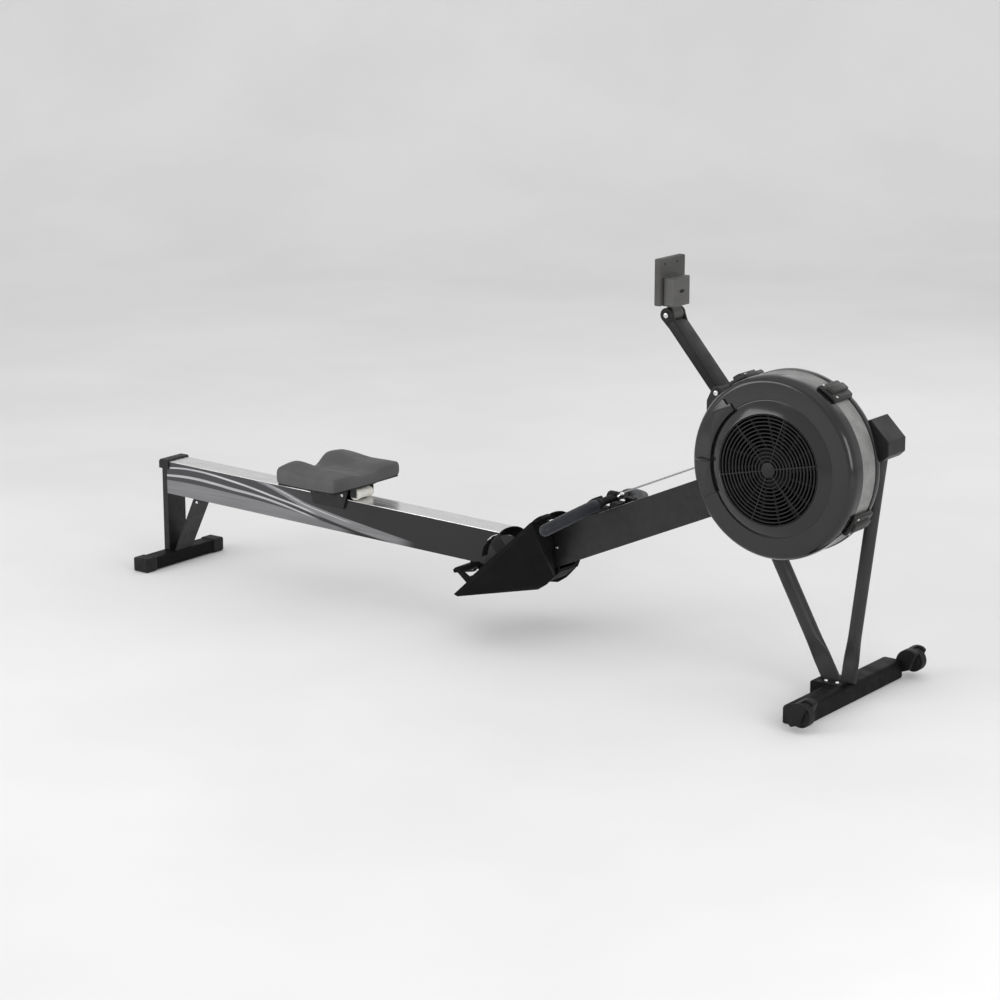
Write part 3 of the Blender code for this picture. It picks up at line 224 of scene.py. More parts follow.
def glossy(name, colour, roughness):
    """Polished moulding: very fine swirl marks and a little waviness."""
    look = Look(name, roughness, coat=0.26, specular=0.36)
    scuff = look.noise(140.0, 6.0, look.stretched((1.0, 0.3, 1.0)), 0.7)
    look.colour(look.blend(look.patches(5.0, 2.0), shade(colour, 0.92), shade(colour, 1.12)))
    look.rough(look.spread(scuff, 0.35, 0.8, roughness - 0.02, roughness + 0.08))
    look.bump(look.noise(14.0, 2.0), 0.0006, 0.25)
    return look.material


def brushed(name, colour, roughness, along):
    """Metal drawn or ground in one direction, given by small scale values along it."""
    look = Look(name, roughness, metallic=1.0)
    streak = look.noise(220.0, 6.0, look.stretched(along), 0.65)
    look.colour(look.blend(look.spread(streak, 0.3, 0.7), shade(colour, 0.86), shade(colour, 1.08)))
    look.rough(look.spread(streak, 0.25, 0.75, roughness - 0.06, roughness + 0.1))
    look.bump(streak, 0.00008, 0.6)
    return look.material


def rubbery(name, colour, roughness, sheen, grain):
    """Soft rubber or foam with a fine grain and faintly paler patches."""
    look = Look(name, roughness, sheen=sheen, specular=0.3)
    look.colour(look.blend(look.patches(22.0, 5.0, 0.3, 0.75), shade(colour, 0.88), shade(colour, 1.3)))
    look.rough(look.patches(40.0, 4.0, 0.3, 0.7, roughness - 0.07, roughness + 0.08))
    look.bump(look.noise(grain, 2.0), 0.00025, 0.7)
    return look.material


def seat_material(name):
    """Closed-cell moulded foam skin: matte, pebbled, a little paler where it is sat on."""
    colour = (0.078, 0.078, 0.08)
    look = Look(name, 0.62, sheen=0.04, specular=0.25)
    mottled = look.blend(look.patches(14.0, 6.0), shade(colour, 0.93), shade(colour, 1.1))
    rubbed = look.patches(5.0, 2.0, 0.5, 0.75, 0.0, 0.35)
    look.colour(look.blend(rubbed, mottled, shade(colour, 1.22)))
    look.rough(look.patches(30.0, 5.0, 0.3, 0.7, 0.55, 0.7))
    look.bump(look.cells(700.0), 0.00035, 0.55)
    return look.material


def webbing_material(name):
    """Flat woven strap: ribs across its width and a herringbone of fine yarns."""
    look = Look(name, 0.85, sheen=0.05, specular=0.15)
    x, y, z = look.split()
    along = look.maths("ADD", y, look.times(z, 0.9))
    rib = look.maths("SINE", look.times(along, 3200.0))
    across = look.maths("SINE", look.times(look.maths("ADD", x, z), 4200.0))
    weave = look.times(rib, across)
    look.colour(look.blend(look.spread(weave, -0.6, 0.8), (0.004, 0.004, 0.0045), (0.018, 0.018, 0.019)))
    look.bump(weave, 0.0004, 0.8)
    return look.material


def vent_material(name):
    """Perforated sheet: rows of round holes in dull grey metal, in unrolled cylinder coordinates; each hole is a
    dent coloured with painted shade.
    """
    look = Look(name, 0.5, metallic=0.35)
    x, y, z = look.split()
    turn = look.maths("ARCTAN2", look.minus(z, WHEEL_Z), look.minus(x, WHEEL_X))
    flat = look.tree.nodes.new("ShaderNodeCombineXYZ")
    look.feed(flat.inputs[0], look.times(turn, VENT_RADIUS))
    look.feed(flat.inputs[1], y)
    hole = look.cells(270.0, flat.outputs[0], randomness=0.0)
    holes_with_shade = look.spread(hole, 0.24, 0.33, 1.0, 0.0)
    metal = look.blend(look.patches(30.0, 4.0), (0.25, 0.252, 0.246), (0.34, 0.342, 0.335))
    # The holes are coloured near black: painted shade for the dark inside of the casing.
    look.colour(look.blend(holes_with_shade, metal, (0.06, 0.06, 0.058)))
    look.bump(holes_with_shade, -0.0006, 0.6)
    return look.material


# Bands down the side of the rail: brightness, then millimetres (along the rail, upper edge, lower edge).
RAIL_BANDS = (
    (1.0, ((0, 290, 286), (75, 300.6, 296.2), (144, 302.6, 297.8), (206, 299.6, 294.2),
           (269, 293.4, 287.8), (331, 286.1, 280.5), (388, 278, 272.2), (437.5, 269.6, 263.8),
           (531, 255, 249.6), (640, 232, 226))),
    (0.8, ((0, 270, 265), (75, 277.4, 270.6), (144, 278.6, 271.4), (206, 275.7, 268.1),
            (281, 269.4, 261.8), (350, 265.1, 257.9), (406, 259.6, 253), (469, 251.1, 244.7),
            (531, 240, 235), (640, 220, 216))),
    (0.3, ((0, 256, 212), (125, 257.5, None), (219, 254.5, None), (312.5, 250, None),
            (400, 244.5, None), (475, 238.6, None), (531, 233, None), (640, 219, None),
            (760, 202, 195))),
    (0.36, ((370, 307, 303), (437.5, 300, 288), (475, 291.7, 276), (531, 276, 258),
            (562.5, 266.7, 247), (625, 255.2, 233), (687.5, 244.8, 221), (750, 236.5, 211),
            (812.5, 228.1, 203), (875, 219.8, 196), (970, 208, 190))),
    (0.95, ((405, 303, 301), (475, 288, 284), (531, 271.5, 266.5), (562.5, 262, 257.5),
            (625, 250, 246.2), (687.5, 239, 236), (780, 226, 224.5))),
)
BAND_SOFTNESS = 0.0012


def rail_material(name):
    """Black anodised rail with silver bands that fan out from the seat end and sweep down its side."""
    look = Look(name, 0.4, specular=0.35)
    x, y, z = look.split()
    share = look.maths("DIVIDE", look.minus(x, REAR), RAIL_LENGTH)

    def height_of(points):
        node = look.tree.nodes.new("ShaderNodeFloatCurve")
        look.feed(node.inputs["Value"], share)
        curve = node.mapping.curves[0]
        points = [(along / 1000 / RAIL_LENGTH, height / 1000) for along, height in points if height]
        curve.points[0].location, curve.points[1].location = points[0], points[-1]
        for along, height in points[1:-1]:
            curve.points.new(along, height)
        node.mapping.update()
        return node.outputs[0]

    silver = None
    for level, band in RAIL_BANDS:
        upper = height_of([(along, top) for along, top, _ in band])
        under = look.spread(look.minus(upper, z), -BAND_SOFTNESS, BAND_SOFTNESS)
        lower = height_of([(along, low) for along, _, low in band])
        over = look.spread(look.minus(z, lower), -BAND_SOFTNESS, BAND_SOFTNESS)
        first, last = band[0][0] / 1000 / RAIL_LENGTH, band[-1][0] / 1000 / RAIL_LENGTH
        starts = look.spread(share, first - 0.02, first + 0.02)
        ends = look.spread(share, last - 0.06, last, 1.0, 0.0)
        inside = look.times(look.times(under, over), level)
        inside = look.times(inside, look.times(starts, ends))
        silver = inside if silver is None else look.maths("MAXIMUM", silver, inside)
    on_side = look.spread(look.maths("ABSOLUTE", y), RAIL_HALF - 0.0015, RAIL_HALF - 0.0005)
    silver = look.times(silver, on_side)
    fade = look.spread(share, 0.3, 0.62)
    dark = look.blend(fade, (0.046, 0.046, 0.05), (0.0125, 0.0122, 0.0123))
    streak = look.noise(160.0, 5.0, look.stretched((0.03, 1.0, 1.0)), 0.6)
    bright = look.blend(look.spread(streak, 0.3, 0.7), (0.42, 0.42, 0.435), (0.56, 0.56, 0.58))
    look.colour(look.blend(silver, dark, bright))
    look.rough(look.spread(streak, 0.2, 0.8, 0.32, 0.46))
    look.bump(streak, 0.00006, 0.5)
    return look.material


def screen_material(name):
    """Plain grey-green display window with faint empty panes."""
    look = Look(name, 0.16, coat=0.5)
    pane = look.maths("SINE", look.times(look.split()[2], 420.0))
    look.colour(look.blend(look.spread(pane, 0.9, 0.97), (0.2, 0.235, 0.2), (0.12, 0.14, 0.12)))
    look.bump(look.noise(500.0), 0.00005, 0.3)
    return look.material


VENT_RADIUS = 0.229
PAINT = powder_coat("satin_black", (0.0085, 0.0085, 0.0085), 0.4, 0.32)
# A darker, duller copy of the satin black for the foot bars and the footrest bracket: painted shade.
SHADED_FOOT_PAINT = powder_coat("black_paint_with_painted_shade", (0.0036, 0.0036, 0.0036), 0.5, 0.08)
LEG = powder_coat("leg_coat", (0.021, 0.022, 0.021), 0.42, 0.28)
ARM = powder_coat("arm_coat", (0.007, 0.007, 0.0072), 0.42, 0.2)
PLASTIC = moulded("grained_black", (0.006, 0.006, 0.0062), 0.5, specular=0.2)
# A darker, duller copy of the grained black plastic for the foot plates, heel cups and frame lock lever: painted
# shade.
SHADED_FOOT_PLASTIC = moulded("foot_plastic_painted_shade", (0.004, 0.0038, 0.0038), 0.55, specular=0.1)
CAP = moulded("cap_black", (0.0125, 0.0123, 0.0122), 0.46, specular=0.28)
GLOSS = glossy("polished_black", (0.0092, 0.0089, 0.0091), 0.16)
CONE = moulded("cone_black", (0.0075, 0.0078, 0.0074), 0.42, 900.0)
CLAMP = moulded("clamp_olive", (0.0115, 0.0113, 0.0104), 0.38, 1000.0, specular=0.32)
MONITOR = moulded("monitor_grey", (0.06, 0.059, 0.056), 0.5, 1200.0)
BATTERY = moulded("battery_grey", (0.082, 0.081, 0.077), 0.5, 1200.0)
RUBBER = rubbery("black_rubber", (0.007, 0.007, 0.0072), 0.72, 0.04, 900.0)
GRIP = rubbery("grip_navy", (0.0115, 0.0135, 0.0185), 0.5, 0.08, 600.0)
SEAT = seat_material("seat_skin")
TRACK = brushed("track_steel", (0.84, 0.835, 0.835), 0.24, (0.02, 1.0, 1.0))
BRIGHT = brushed("bright_steel", (0.72, 0.72, 0.72), 0.22, (1.0, 1.0, 0.2))
CHAIN = brushed("chain_steel", (0.34, 0.34, 0.34), 0.34, (1.0, 1.0, 1.0))
NYLON = moulded("cream_nylon", (0.72, 0.71, 0.65), 0.42, 1500.0, 0.0001)
WEBBING = webbing_material("woven_strap")
VENT = vent_material("perforated_steel")
RAIL = rail_material("banded_rail")
SCREEN = screen_material("display_window")

SLOT_LOOK = {"black_plastic": PLASTIC, "gloss_plastic": GLOSS, "black_paint": PAINT, "leg_paint": LEG,
             "rail_alloy": RAIL, "fan_alloy": PAINT, "arm_alloy": ARM, "stainless": TRACK,
             "bright_steel": BRIGHT, "vent_steel": VENT, "black_rubber": RUBBER, "navy_grip": GRIP,
             "seat_foam": SEAT, "white_nylon": NYLON, "webbing": WEBBING, "monitor_plastic": MONITOR,
             "screen_glass": SCREEN}
SLOT_OF = {part["node"]: part["material_slot"] for part in frame["record"]["subparts"]}
# The foot bars, footrest bracket, foot plates, heel cups and frame lock lever take the darker copies of the black
# paint and plastic: painted shade.
NODE_LOOK = {"footboard_right": SHADED_FOOT_PLASTIC, "footboard_left": SHADED_FOOT_PLASTIC, "beam_end_cap": CAP,
             "rail_end_cap": CAP, "battery_cover": BATTERY, "rear_foot_bar": SHADED_FOOT_PAINT,
             "footrest_bracket": SHADED_FOOT_PAINT, "frame_lock_lever": SHADED_FOOT_PLASTIC,
             "heel_cup_right": SHADED_FOOT_PLASTIC, "heel_cup_left": SHADED_FOOT_PLASTIC}

# ---------------------------------------------------------------- shape helpers
def add_object(name, data):
    thing = bpy.data.objects.new(name, data)
    bpy.context.scene.collection.objects.link(thing)
    return thing


def finish_piece(name, builder, look, body="frame", stands_for=(), angle=35.0):
    """Turn a bmesh into a named piece that rides on a body and may stand for CAD nodes."""
    bmesh.ops.remove_doubles(builder, verts=builder.verts, dist=1e-6)
    bmesh.ops.recalc_face_normals(builder, faces=builder.faces)
    mesh = bpy.data.meshes.new(name)
    builder.to_mesh(mesh)
    builder.free()
    mesh.shade_smooth()
    mesh.set_sharp_from_angle(angle=radians(angle))
    mesh.materials.append(look)
    piece = add_object(name, mesh)
    if body:
        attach(piece, body)
    if stands_for:
        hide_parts(*stands_for)
    return piece


def join_into(builder, other):
    """Add the faces of one bmesh to another."""
    mesh = bpy.data.meshes.new("part")
    other.to_mesh(mesh)
    other.free()
    builder.from_mesh(mesh)
    bpy.data.meshes.remove(mesh)


def round_edges(builder, width, segments):
    edges = [e for e in builder.edges if e.is_manifold and e.calc_face_angle(0.0) > radians(28.0)]
    bmesh.ops.bevel(builder, geom=edges, offset=width, segments=segments, profile=0.5, affect="EDGES",
            clamp_overlap=True)
    return builder


def extruded(outline, y_low, y_high, bevel=0.0, segments=3):
    builder = bmesh.new()
    face = builder.faces.new([builder.verts.new((x, y_low, z)) for x, z in outline])
    grown = bmesh.ops.extrude_face_region(builder, geom=[face])
    moved = [v for v in grown["geom"] if isinstance(v, bmesh.types.BMVert)]
    bmesh.ops.translate(builder, verts=moved, vec=(0.0, y_high - y_low, 0.0))
    bmesh.ops.recalc_face_normals(builder, faces=builder.faces)
    return round_edges(builder, bevel, segments) if bevel else builder


def turned(builder, centre, angle):
    """Turn a shape about Y, then carry it to centre."""
    matrix = Matrix.Translation(centre) @ Matrix.Rotation(angle, 4, "Y")
    bmesh.ops.transform(builder, matrix=matrix, verts=builder.verts)
    return builder


def cuboid(centre, size, bevel, tilt=0.0):
    builder = bmesh.new()
    bmesh.ops.create_cube(builder, size=1.0, matrix=Matrix.Diagonal((*size, 1.0)))
    return turned(round_edges(builder, bevel, 3), centre, tilt)


def add_ring(builder, centre, side, other, wide, deep, steps):
    turns = [2 * pi * k / steps for k in range(steps)]
    return [builder.verts.new(centre + side * (wide * cos(turn)) + other * (deep * sin(turn)))
            for turn in turns]


def add_walls(builder, rings):
    """Faces from each ring of vertices to the next."""
    for first, second in zip(rings, rings[1:]):
        count = len(first)
        for k in range(count):
            builder.faces.new([first[k], first[(k + 1) % count], second[(k + 1) % count], second[k]])


def add_skin(builder, rings):
    """Walls along the rings, and a face over each end."""
    add_walls(builder, rings)
    builder.faces.new(rings[0])
    builder.faces.new(rings[-1])


def spun(profile, centre, direction=(0.0, 1.0, 0.0), steps=48, closed=True):
    """Spin (radius, along) points round a line through centre."""
    builder = bmesh.new()
    ahead = Vector(direction).normalized()
    helper = Vector((0.0, 0.0, 1.0)) if abs(ahead.z) < 0.9 else Vector((1.0, 0.0, 0.0))
    side = ahead.cross(helper).normalized()
    other = ahead.cross(side)
    rings = []
    for radius, along in profile:
        base = Vector(centre) + ahead * along
        on_line = radius < 1e-7
        rings.append([builder.verts.new(base)] if on_line
                else add_ring(builder, base, side, other, radius, radius, steps))
    pairs = list(zip(rings, rings[1:]))
    if closed:
        pairs.append((rings[-1], rings[0]))
    for first, second in pairs:
        if len(first) == 1 and len(second) == 1:
            continue
        for k in range(steps):
            ring = [first[k % len(first)], first[(k + 1) % len(first)],
                    second[(k + 1) % len(second)], second[k % len(second)]]
            unique = list(dict.fromkeys(ring))
            if len(unique) > 2:
                builder.faces.new(unique)
    return builder


def tube(path, radii, steps, squash=None, closed=False):
    """A round bar along points; squash gives the (side, other) scale factors all along it."""
    builder = bmesh.new()
    points = [Vector(p) for p in path]
    count = len(points)
    rings = []
    for i, point in enumerate(points):
        before = points[i - 1] if closed else points[max(i - 1, 0)]
        after = points[(i + 1) % count] if closed else points[min(i + 1, count - 1)]
        ahead = (after - before).normalized()
        helper = Vector((0.0, 1.0, 0.0)) if abs(ahead.y) < 0.8 else Vector((0.0, 0.0, 1.0))
        side = ahead.cross(helper).normalized()
        other = ahead.cross(side).normalized()
        wide, deep = squash or (1.0, 1.0)
        rings.append(add_ring(builder, point, side, other, radii[i] * wide, radii[i] * deep, steps))
    if closed:
        add_walls(builder, rings + rings[:1])
    else:
        add_skin(builder, rings)
    return builder


def arc(centre, radius, start, end, steps):
    turns = [radians(start + (end - start) * k / steps) for k in range(steps + 1)]
    return [(centre[0] + radius * cos(turn), centre[1] + radius * sin(turn)) for turn in turns]


def bolt_head(centre, direction, radius, height):
    """Button-head screw with a hexagonal socket."""
    socket = radius * 0.42
    profile = [(0.0, height * 0.45), (socket, height * 0.45), (socket, height), (radius * 0.62, height),
               (radius * 0.9, height * 0.72), (radius, height * 0.3), (radius, 0.0), (0.0, 0.0)]
    return spun(profile, centre, direction, 24)


def washer(centre, direction, radius, height, shoulder, steps):
    """A thin disc whose outer edge is broken by a shoulder."""
    profile = [(0.0, 0.0), (0.0, height), (radius - shoulder, height), (radius, 0.0008), (radius, 0.0)]
    return spun(profile, centre, direction, steps, closed=False)


def add_bolt(name, centre, direction, radius, height, body="frame"):
    finish_piece(name, bolt_head(centre, direction, radius, height), BRIGHT, body)


def mirror_y(builder):
    bmesh.ops.transform(builder, matrix=Matrix.Diagonal((1.0, -1.0, 1.0, 1.0)), verts=builder.verts)
    bmesh.ops.reverse_faces(builder, faces=builder.faces)
    return builder


def beam_z(x, above):
    """Height of a line along the beam, that far above its middle."""
    return BEAM_MID_Z + (x - WHEEL_X) * tan(BEAM_TILT) + above / cos(BEAM_TILT)


def on_plate(along, above):
    """A point that far up the foot plates and that far off them."""
    length = sqrt((TOE[0] - HEEL[0]) ** 2 + (TOE[1] - HEEL[1]) ** 2)
    ux, uz = (TOE[0] - HEEL[0]) / length, (TOE[1] - HEEL[1]) / length
    return HEEL[0] + ux * along - uz * above, HEEL[1] + uz * along + ux * above


# ---------------------------------------------------------------- CAD nodes that keep their shape
KEEP_BEVEL = {"rear_upright": 0.0012, "rear_brace": 0.001, "rail_end_cap": 0.0015,
              "footrest_bracket": 0.001, "main_beam": 0.0018, "monorail": 0.0012, "rear_foot_bar": 0.001,
              "footboard_right": 0.0012, "footboard_left": 0.0012}


def dress_cad_nodes():
    for name, node in NODES.items():
        node.data.materials.clear()
        node.data.materials.append(NODE_LOOK.get(name, SLOT_LOOK[SLOT_OF[name]]))
        node.data.shade_smooth()
        node.data.set_sharp_from_angle(angle=radians(32.0))
        if name in KEEP_BEVEL:
            modifier = node.modifiers.new("edge", "BEVEL")
            modifier.width = KEEP_BEVEL[name]
            modifier.segments = 3
            modifier.limit_method = "ANGLE"
            modifier.angle_limit = radians(40.0)
            modifier.use_clamp_overlap = True
            modifier.harden_normals = False


# ---------------------------------------------------------------- casing
CASE_RADIUS = 0.2323
CASE_FRONT = -0.178
CASE_BACK = -0.0435
GRILLE_RADIUS = 0.1405
GRILLE_FACE = -0.193
VENT_NEAR = -0.129
VENT_FAR = -0.066
AXLE = (WHEEL_X, WHEEL_Z)
WHEEL = (WHEEL_X, 0.0, WHEEL_Z)
CLAMP_ANGLES = (57.0, -31.0, 122.0)
ROUND = 160  # sides of the big round parts


def curve_round(start, corner, end, steps):
    """A quadratic bend from start to end that leans into corner."""
    shares = [k / steps for k in range(steps + 1)]
    return [tuple(start[i] * (1 - t) ** 2 + 2 * corner[i] * t * (1 - t) + end[i] * t * t for i in range(2))
            for t in shares]


def casing_half(name, profile, node):
    finish_piece(name, spun(profile, WHEEL, steps=ROUND), GLOSS, "frame", [node], angle=32.0)


def build_casing():
    """Near half from its grille seat out over the rim, far half, and the vented band between them."""
    front, back = CASE_FRONT, CASE_BACK
    shell = [(GRILLE_RADIUS + 0.0002, GRILLE_FACE + 0.0008), (GRILLE_RADIUS + 0.001, GRILLE_FACE)]
    shell += [(0.1436, GRILLE_FACE + 0.0003), (0.17, front + 0.0012), (0.1716, front + 0.0021),
              (0.1728, front + 0.0021), (0.1738, front), (0.215, front), (0.2176, front + 0.0001)]
    rim = curve_round((0.219, front + 0.0006), (0.2292, front + 0.003), (CASE_RADIUS, front + 0.0215), 9)
    lip = [(CASE_RADIUS, VENT_NEAR - 0.0032), (CASE_RADIUS - 0.0008, VENT_NEAR - 0.0024),
           (CASE_RADIUS - 0.0008, VENT_NEAR - 0.001), (0.2296, VENT_NEAR - 0.0006),
           (0.225, VENT_NEAR - 0.0006)]
    inside = [(0.225, front + 0.022), (0.219, front + 0.011), (0.212, front + 0.005),
              (0.173, front + 0.005), (0.1455, GRILLE_FACE + 0.0065),
              (GRILLE_RADIUS + 0.0002, GRILLE_FACE + 0.0065)]
    casing_half("casing_right_shell", shell + rim + lip + inside, "casing_right")
    plate = [(0.015, back), (0.015, back - 0.004), (0.221, back - 0.004), (0.225, back - 0.008),
             (0.225, VENT_FAR + 0.0006), (0.2296, VENT_FAR + 0.0006),
             (CASE_RADIUS - 0.0008, VENT_FAR + 0.0012), (CASE_RADIUS, VENT_FAR + 0.003)]
    plate += curve_round((CASE_RADIUS, back - 0.009), (CASE_RADIUS, back), (0.224, back), 5)
    plate += [(0.196, back), (0.195, back - 0.001), (0.193, back - 0.001), (0.192, back)]
    casing_half("casing_left_shell", plate, "casing_left")
    band = [(0.227, VENT_NEAR), (VENT_RADIUS, VENT_NEAR), (0.2296, VENT_NEAR + 0.0008),
            (0.2296, VENT_FAR - 0.0008), (VENT_RADIUS, VENT_FAR), (0.227, VENT_FAR)]
    finish_piece("vent_sheet", spun(band, WHEEL, steps=ROUND), VENT, "frame", ["vent_band"])


def build_grille():
    """Fine rings joined by six spokes round a plain middle disc."""
    face = GRILLE_FACE
    grille = bmesh.new()
    innermost, gaps = 0.026, 12
    pitch = (GRILLE_RADIUS - innermost) / gaps
    for k in range(gaps + 1):
        radius = innermost + pitch * k
        half = 0.002 if k < gaps else 0.003
        inner = radius - half * 1.1
        outer = min(radius + half * 1.1, GRILLE_RADIUS)
        ring = [(inner, face + 0.0022), (inner + 0.001, face + 0.0006), (outer - 0.001, face + 0.0006),
                (outer, face + 0.0022), (outer, face + 0.006), (inner, face + 0.006)]
        join_into(grille, spun(ring, WHEEL, steps=96))
    disc = [(0.0, face + 0.0002), (0.015, face + 0.0002), (0.0188, face + 0.0012), (0.02, face + 0.003),
            (0.02, face + 0.006), (0.0, face + 0.006)]
    join_into(grille, spun(disc, WHEEL, steps=64, closed=False))
    starts, ends = 0.017, GRILLE_RADIUS - 0.001
    for k in range(6):
        spoke = cuboid(((starts + ends) / 2, 0.0, 0.0), (ends - starts, 0.0052, 0.0026), 0.0006)
        join_into(grille, turned(spoke, (WHEEL_X, face + 0.003, WHEEL_Z), -radians(12.0 + 60.0 * k)))
    finish_piece("intake_rings", grille, CONE, "frame", ["intake_grille"])


def build_damper():
    """The raised sector that opens the intake, stepped at its upper end, with a thumb fin."""
    front = CASE_FRONT - 0.0048
    outline = arc(AXLE, 0.2125, 131.0, 207.0, 40) + arc(AXLE, 0.1725, 207.0, 128.0, 40)
    outline += arc(AXLE, 0.192, 128.0, 128.0, 1)[:1] + arc(AXLE, 0.194, 131.0, 131.0, 1)[:1]
    sector = extruded(outline, front, CASE_FRONT - 0.0002, 0.001, 2)
    for k in range(9):
        rib = cuboid((0.206, 0.0, 0.0), (0.006, 0.001, 0.0012), 0.0003)
        join_into(sector, turned(rib, (WHEEL_X, front - 0.0001, WHEEL_Z), -radians(166.0 + 3.6 * k)))
    spine = ((0.176, 0.0014), (0.184, 0.0036), (0.198, 0.0052), (0.209, 0.006), (0.2115, 0.0056))
    path = [(WHEEL_X - out, front - proud, WHEEL_Z) for out, proud in spine]
    join_into(sector, tube(path, [0.0048, 0.0068, 0.007, 0.0062, 0.0035], 24, (0.6, 1.0)))
    finish_piece("damper_sector", sector, GLOSS, "damper", ["damper_ring"])


def build_clamps():
    half, reach = 7.6, CASE_RADIUS + 0.0115
    for number, angle in enumerate(CLAMP_ANGLES, start=1):
        outline = (arc(AXLE, CASE_RADIUS + 0.001, angle + half, angle - half, 12)
                   + arc(AXLE, reach, angle - half + 1.4, angle + half - 1.4, 12))
        clamp = extruded(outline, VENT_NEAR - 0.012, VENT_FAR + 0.012, 0.0032, 4)
        crown = (arc(AXLE, reach - 0.004, angle + 3.2, angle - 3.2, 8)
                 + arc(AXLE, reach + 0.007, angle - 2.4, angle + 2.4, 8))
        join_into(clamp, extruded(crown, VENT_NEAR - 0.006, VENT_FAR + 0.006, 0.0024))
        finish_piece("clamp_strap_" + str(number), clamp, CLAMP, "frame", ["casing_clamp_" + str(number)])
        out = Vector((cos(radians(angle)), 0.0, sin(radians(angle))))
        for offset, letter in ((-5.4, "a"), (5.4, "b")):
            turn = radians(angle + offset)
            seat = Vector((WHEEL_X, -0.127, WHEEL_Z))
            seat += Vector((cos(turn), 0.0, sin(turn))) * (reach - 0.0002)
            add_bolt("clamp_screw_{}_{}".format(number, letter), seat, out, 0.0034, 0.0022)


def build_casing_bolts():
    for number, angle in enumerate((20.0, 92.0, 164.0, 236.0, 308.0), start=1):
        turn = radians(angle)
        centre = (WHEEL_X + 0.2 * cos(turn), CASE_BACK, WHEEL_Z + 0.2 * sin(turn))
        add_bolt("shell_screw_" + str(number), centre, (0, 1, 0), 0.0042, 0.0022)


# ---------------------------------------------------------------- legs, front foot, casters
FRONT_FOOT_X = REAR + 2.313
CASTER_X = REAR + 2.359
CASTER_Z = 0.044
CASTER_RADIUS = 0.03
CASTER_Y = 0.2855
LEG_GAP = 0.001  # left under the beam


def build_leg(name, node, foot_x, top_x, radius):
    """Round tube whose lower end is pressed into a flat plate, leaving a spoon-shaped dimple."""
    under = -BEAM_DEPTH / 2 - LEG_GAP
    foot, head = Vector((foot_x, 0.0, 0.0495)), Vector((top_x, 0.0, beam_z(top_x, under)))
    ahead = (head - foot).normalized()
    reach = (head - foot).length
    side = ahead.cross(Vector((0.0, 1.0, 0.0))).normalized()
    builder = bmesh.new()
    steps, rings = 48, []
    stations = [0.0, 0.01, 0.03, 0.048, 0.056, 0.064, 0.072, 0.082, 0.094, 0.108, 0.124, 0.14, 0.2]
    for s in stations + [reach * 0.6, reach]:
        press = smooth_step((0.128 - s) / 0.074)
        wide = radius * (1.0 + 0.3 * press)
        deep = radius * (1.0 - 0.74 * press)
        dimple = max(0.0, 1.0 - abs(s - 0.09) / 0.045) * radius * 0.42
        ring = []
        for k in range(steps):
            angle = 2 * pi * k / steps
            flat = abs(cos(angle)) ** (1.0 - 0.55 * press) * (1 if cos(angle) > 0 else -1)
            near_middle = max(0.0, 1.0 - (cos(angle) / 0.62) ** 2) ** 1.2
            y = deep * sin(angle) - dimple * near_middle * (1 if sin(angle) > 0 else -1)
            point = foot + ahead * s + side * (wide * flat) + Vector((0.0, y, 0.0))
            if s == 0.0:
                point -= ahead * ((point.z - foot.z) / ahead.z)
            if s == reach:
                gap = beam_z(point.x, under) - point.z
                point += ahead * (gap / (ahead.z - ahead.x * tan(BEAM_TILT)))
            ring.append(builder.verts.new(point))
        rings.append(ring)
    add_skin(builder, rings)
    finish_piece(name, builder, LEG, "frame", [node], angle=50.0)


def foot_section(x_low, x_high, z_low, z_high):
    """Outline of a bar with round upper edges and tighter lower ones."""
    return (arc((x_high - 0.01, z_high - 0.01), 0.01, 0, 90, 8)
            + arc((x_low + 0.01, z_high - 0.01), 0.01, 90, 180, 8)
            + arc((x_low + 0.004, z_low + 0.004), 0.004, 180, 270, 4)
            + arc((x_high - 0.004, z_low + 0.004), 0.004, 270, 360, 4))


def build_front_foot():
    x = FRONT_FOOT_X
    bar = extruded(foot_section(x - 0.03, x + 0.03, 0.0, 0.049), -0.247, 0.247)
    join_into(bar, cuboid((x - 0.047, 0.0, 0.0245), (0.058, 0.085, 0.047), 0.004))
    bead = [(x - 0.074, 0.0471), (x + 0.026, 0.0492), (x + 0.026, 0.05), (x - 0.074, 0.048)]
    for side in (-1, 1):
        join_into(bar, extruded(bead, side * 0.034 - 0.0006, side * 0.034 + 0.0006))
    # The front foot bar takes the darker copy of the black paint: painted shade.
    finish_piece("front_foot_tube", bar, SHADED_FOOT_PAINT, "frame", ["front_foot_bar"], angle=28.0)
    flange = [(x - 0.056, 0.0485), (x + 0.012, 0.0485), (x + 0.012, 0.0505), (x - 0.056, 0.0505)]
    finish_piece("foot_flange", extruded(flange, -0.041, 0.041, 0.0006), PAINT)
    spots = [(bolt_x, y) for bolt_x in (x - 0.035, x - 0.003) for y in (-0.03, 0.03)]
    for number, (bolt_x, y) in enumerate(spots, start=1):
        disc = washer((bolt_x, y, 0.0504), (0, 0, 1), 0.0085, 0.0014, 0.0007, 32)
        finish_piece("foot_washer_" + str(number), disc, PAINT)
        add_bolt("foot_bolt_" + str(number), (bolt_x, y, 0.0516), (0, 0, 1), 0.005, 0.0048)


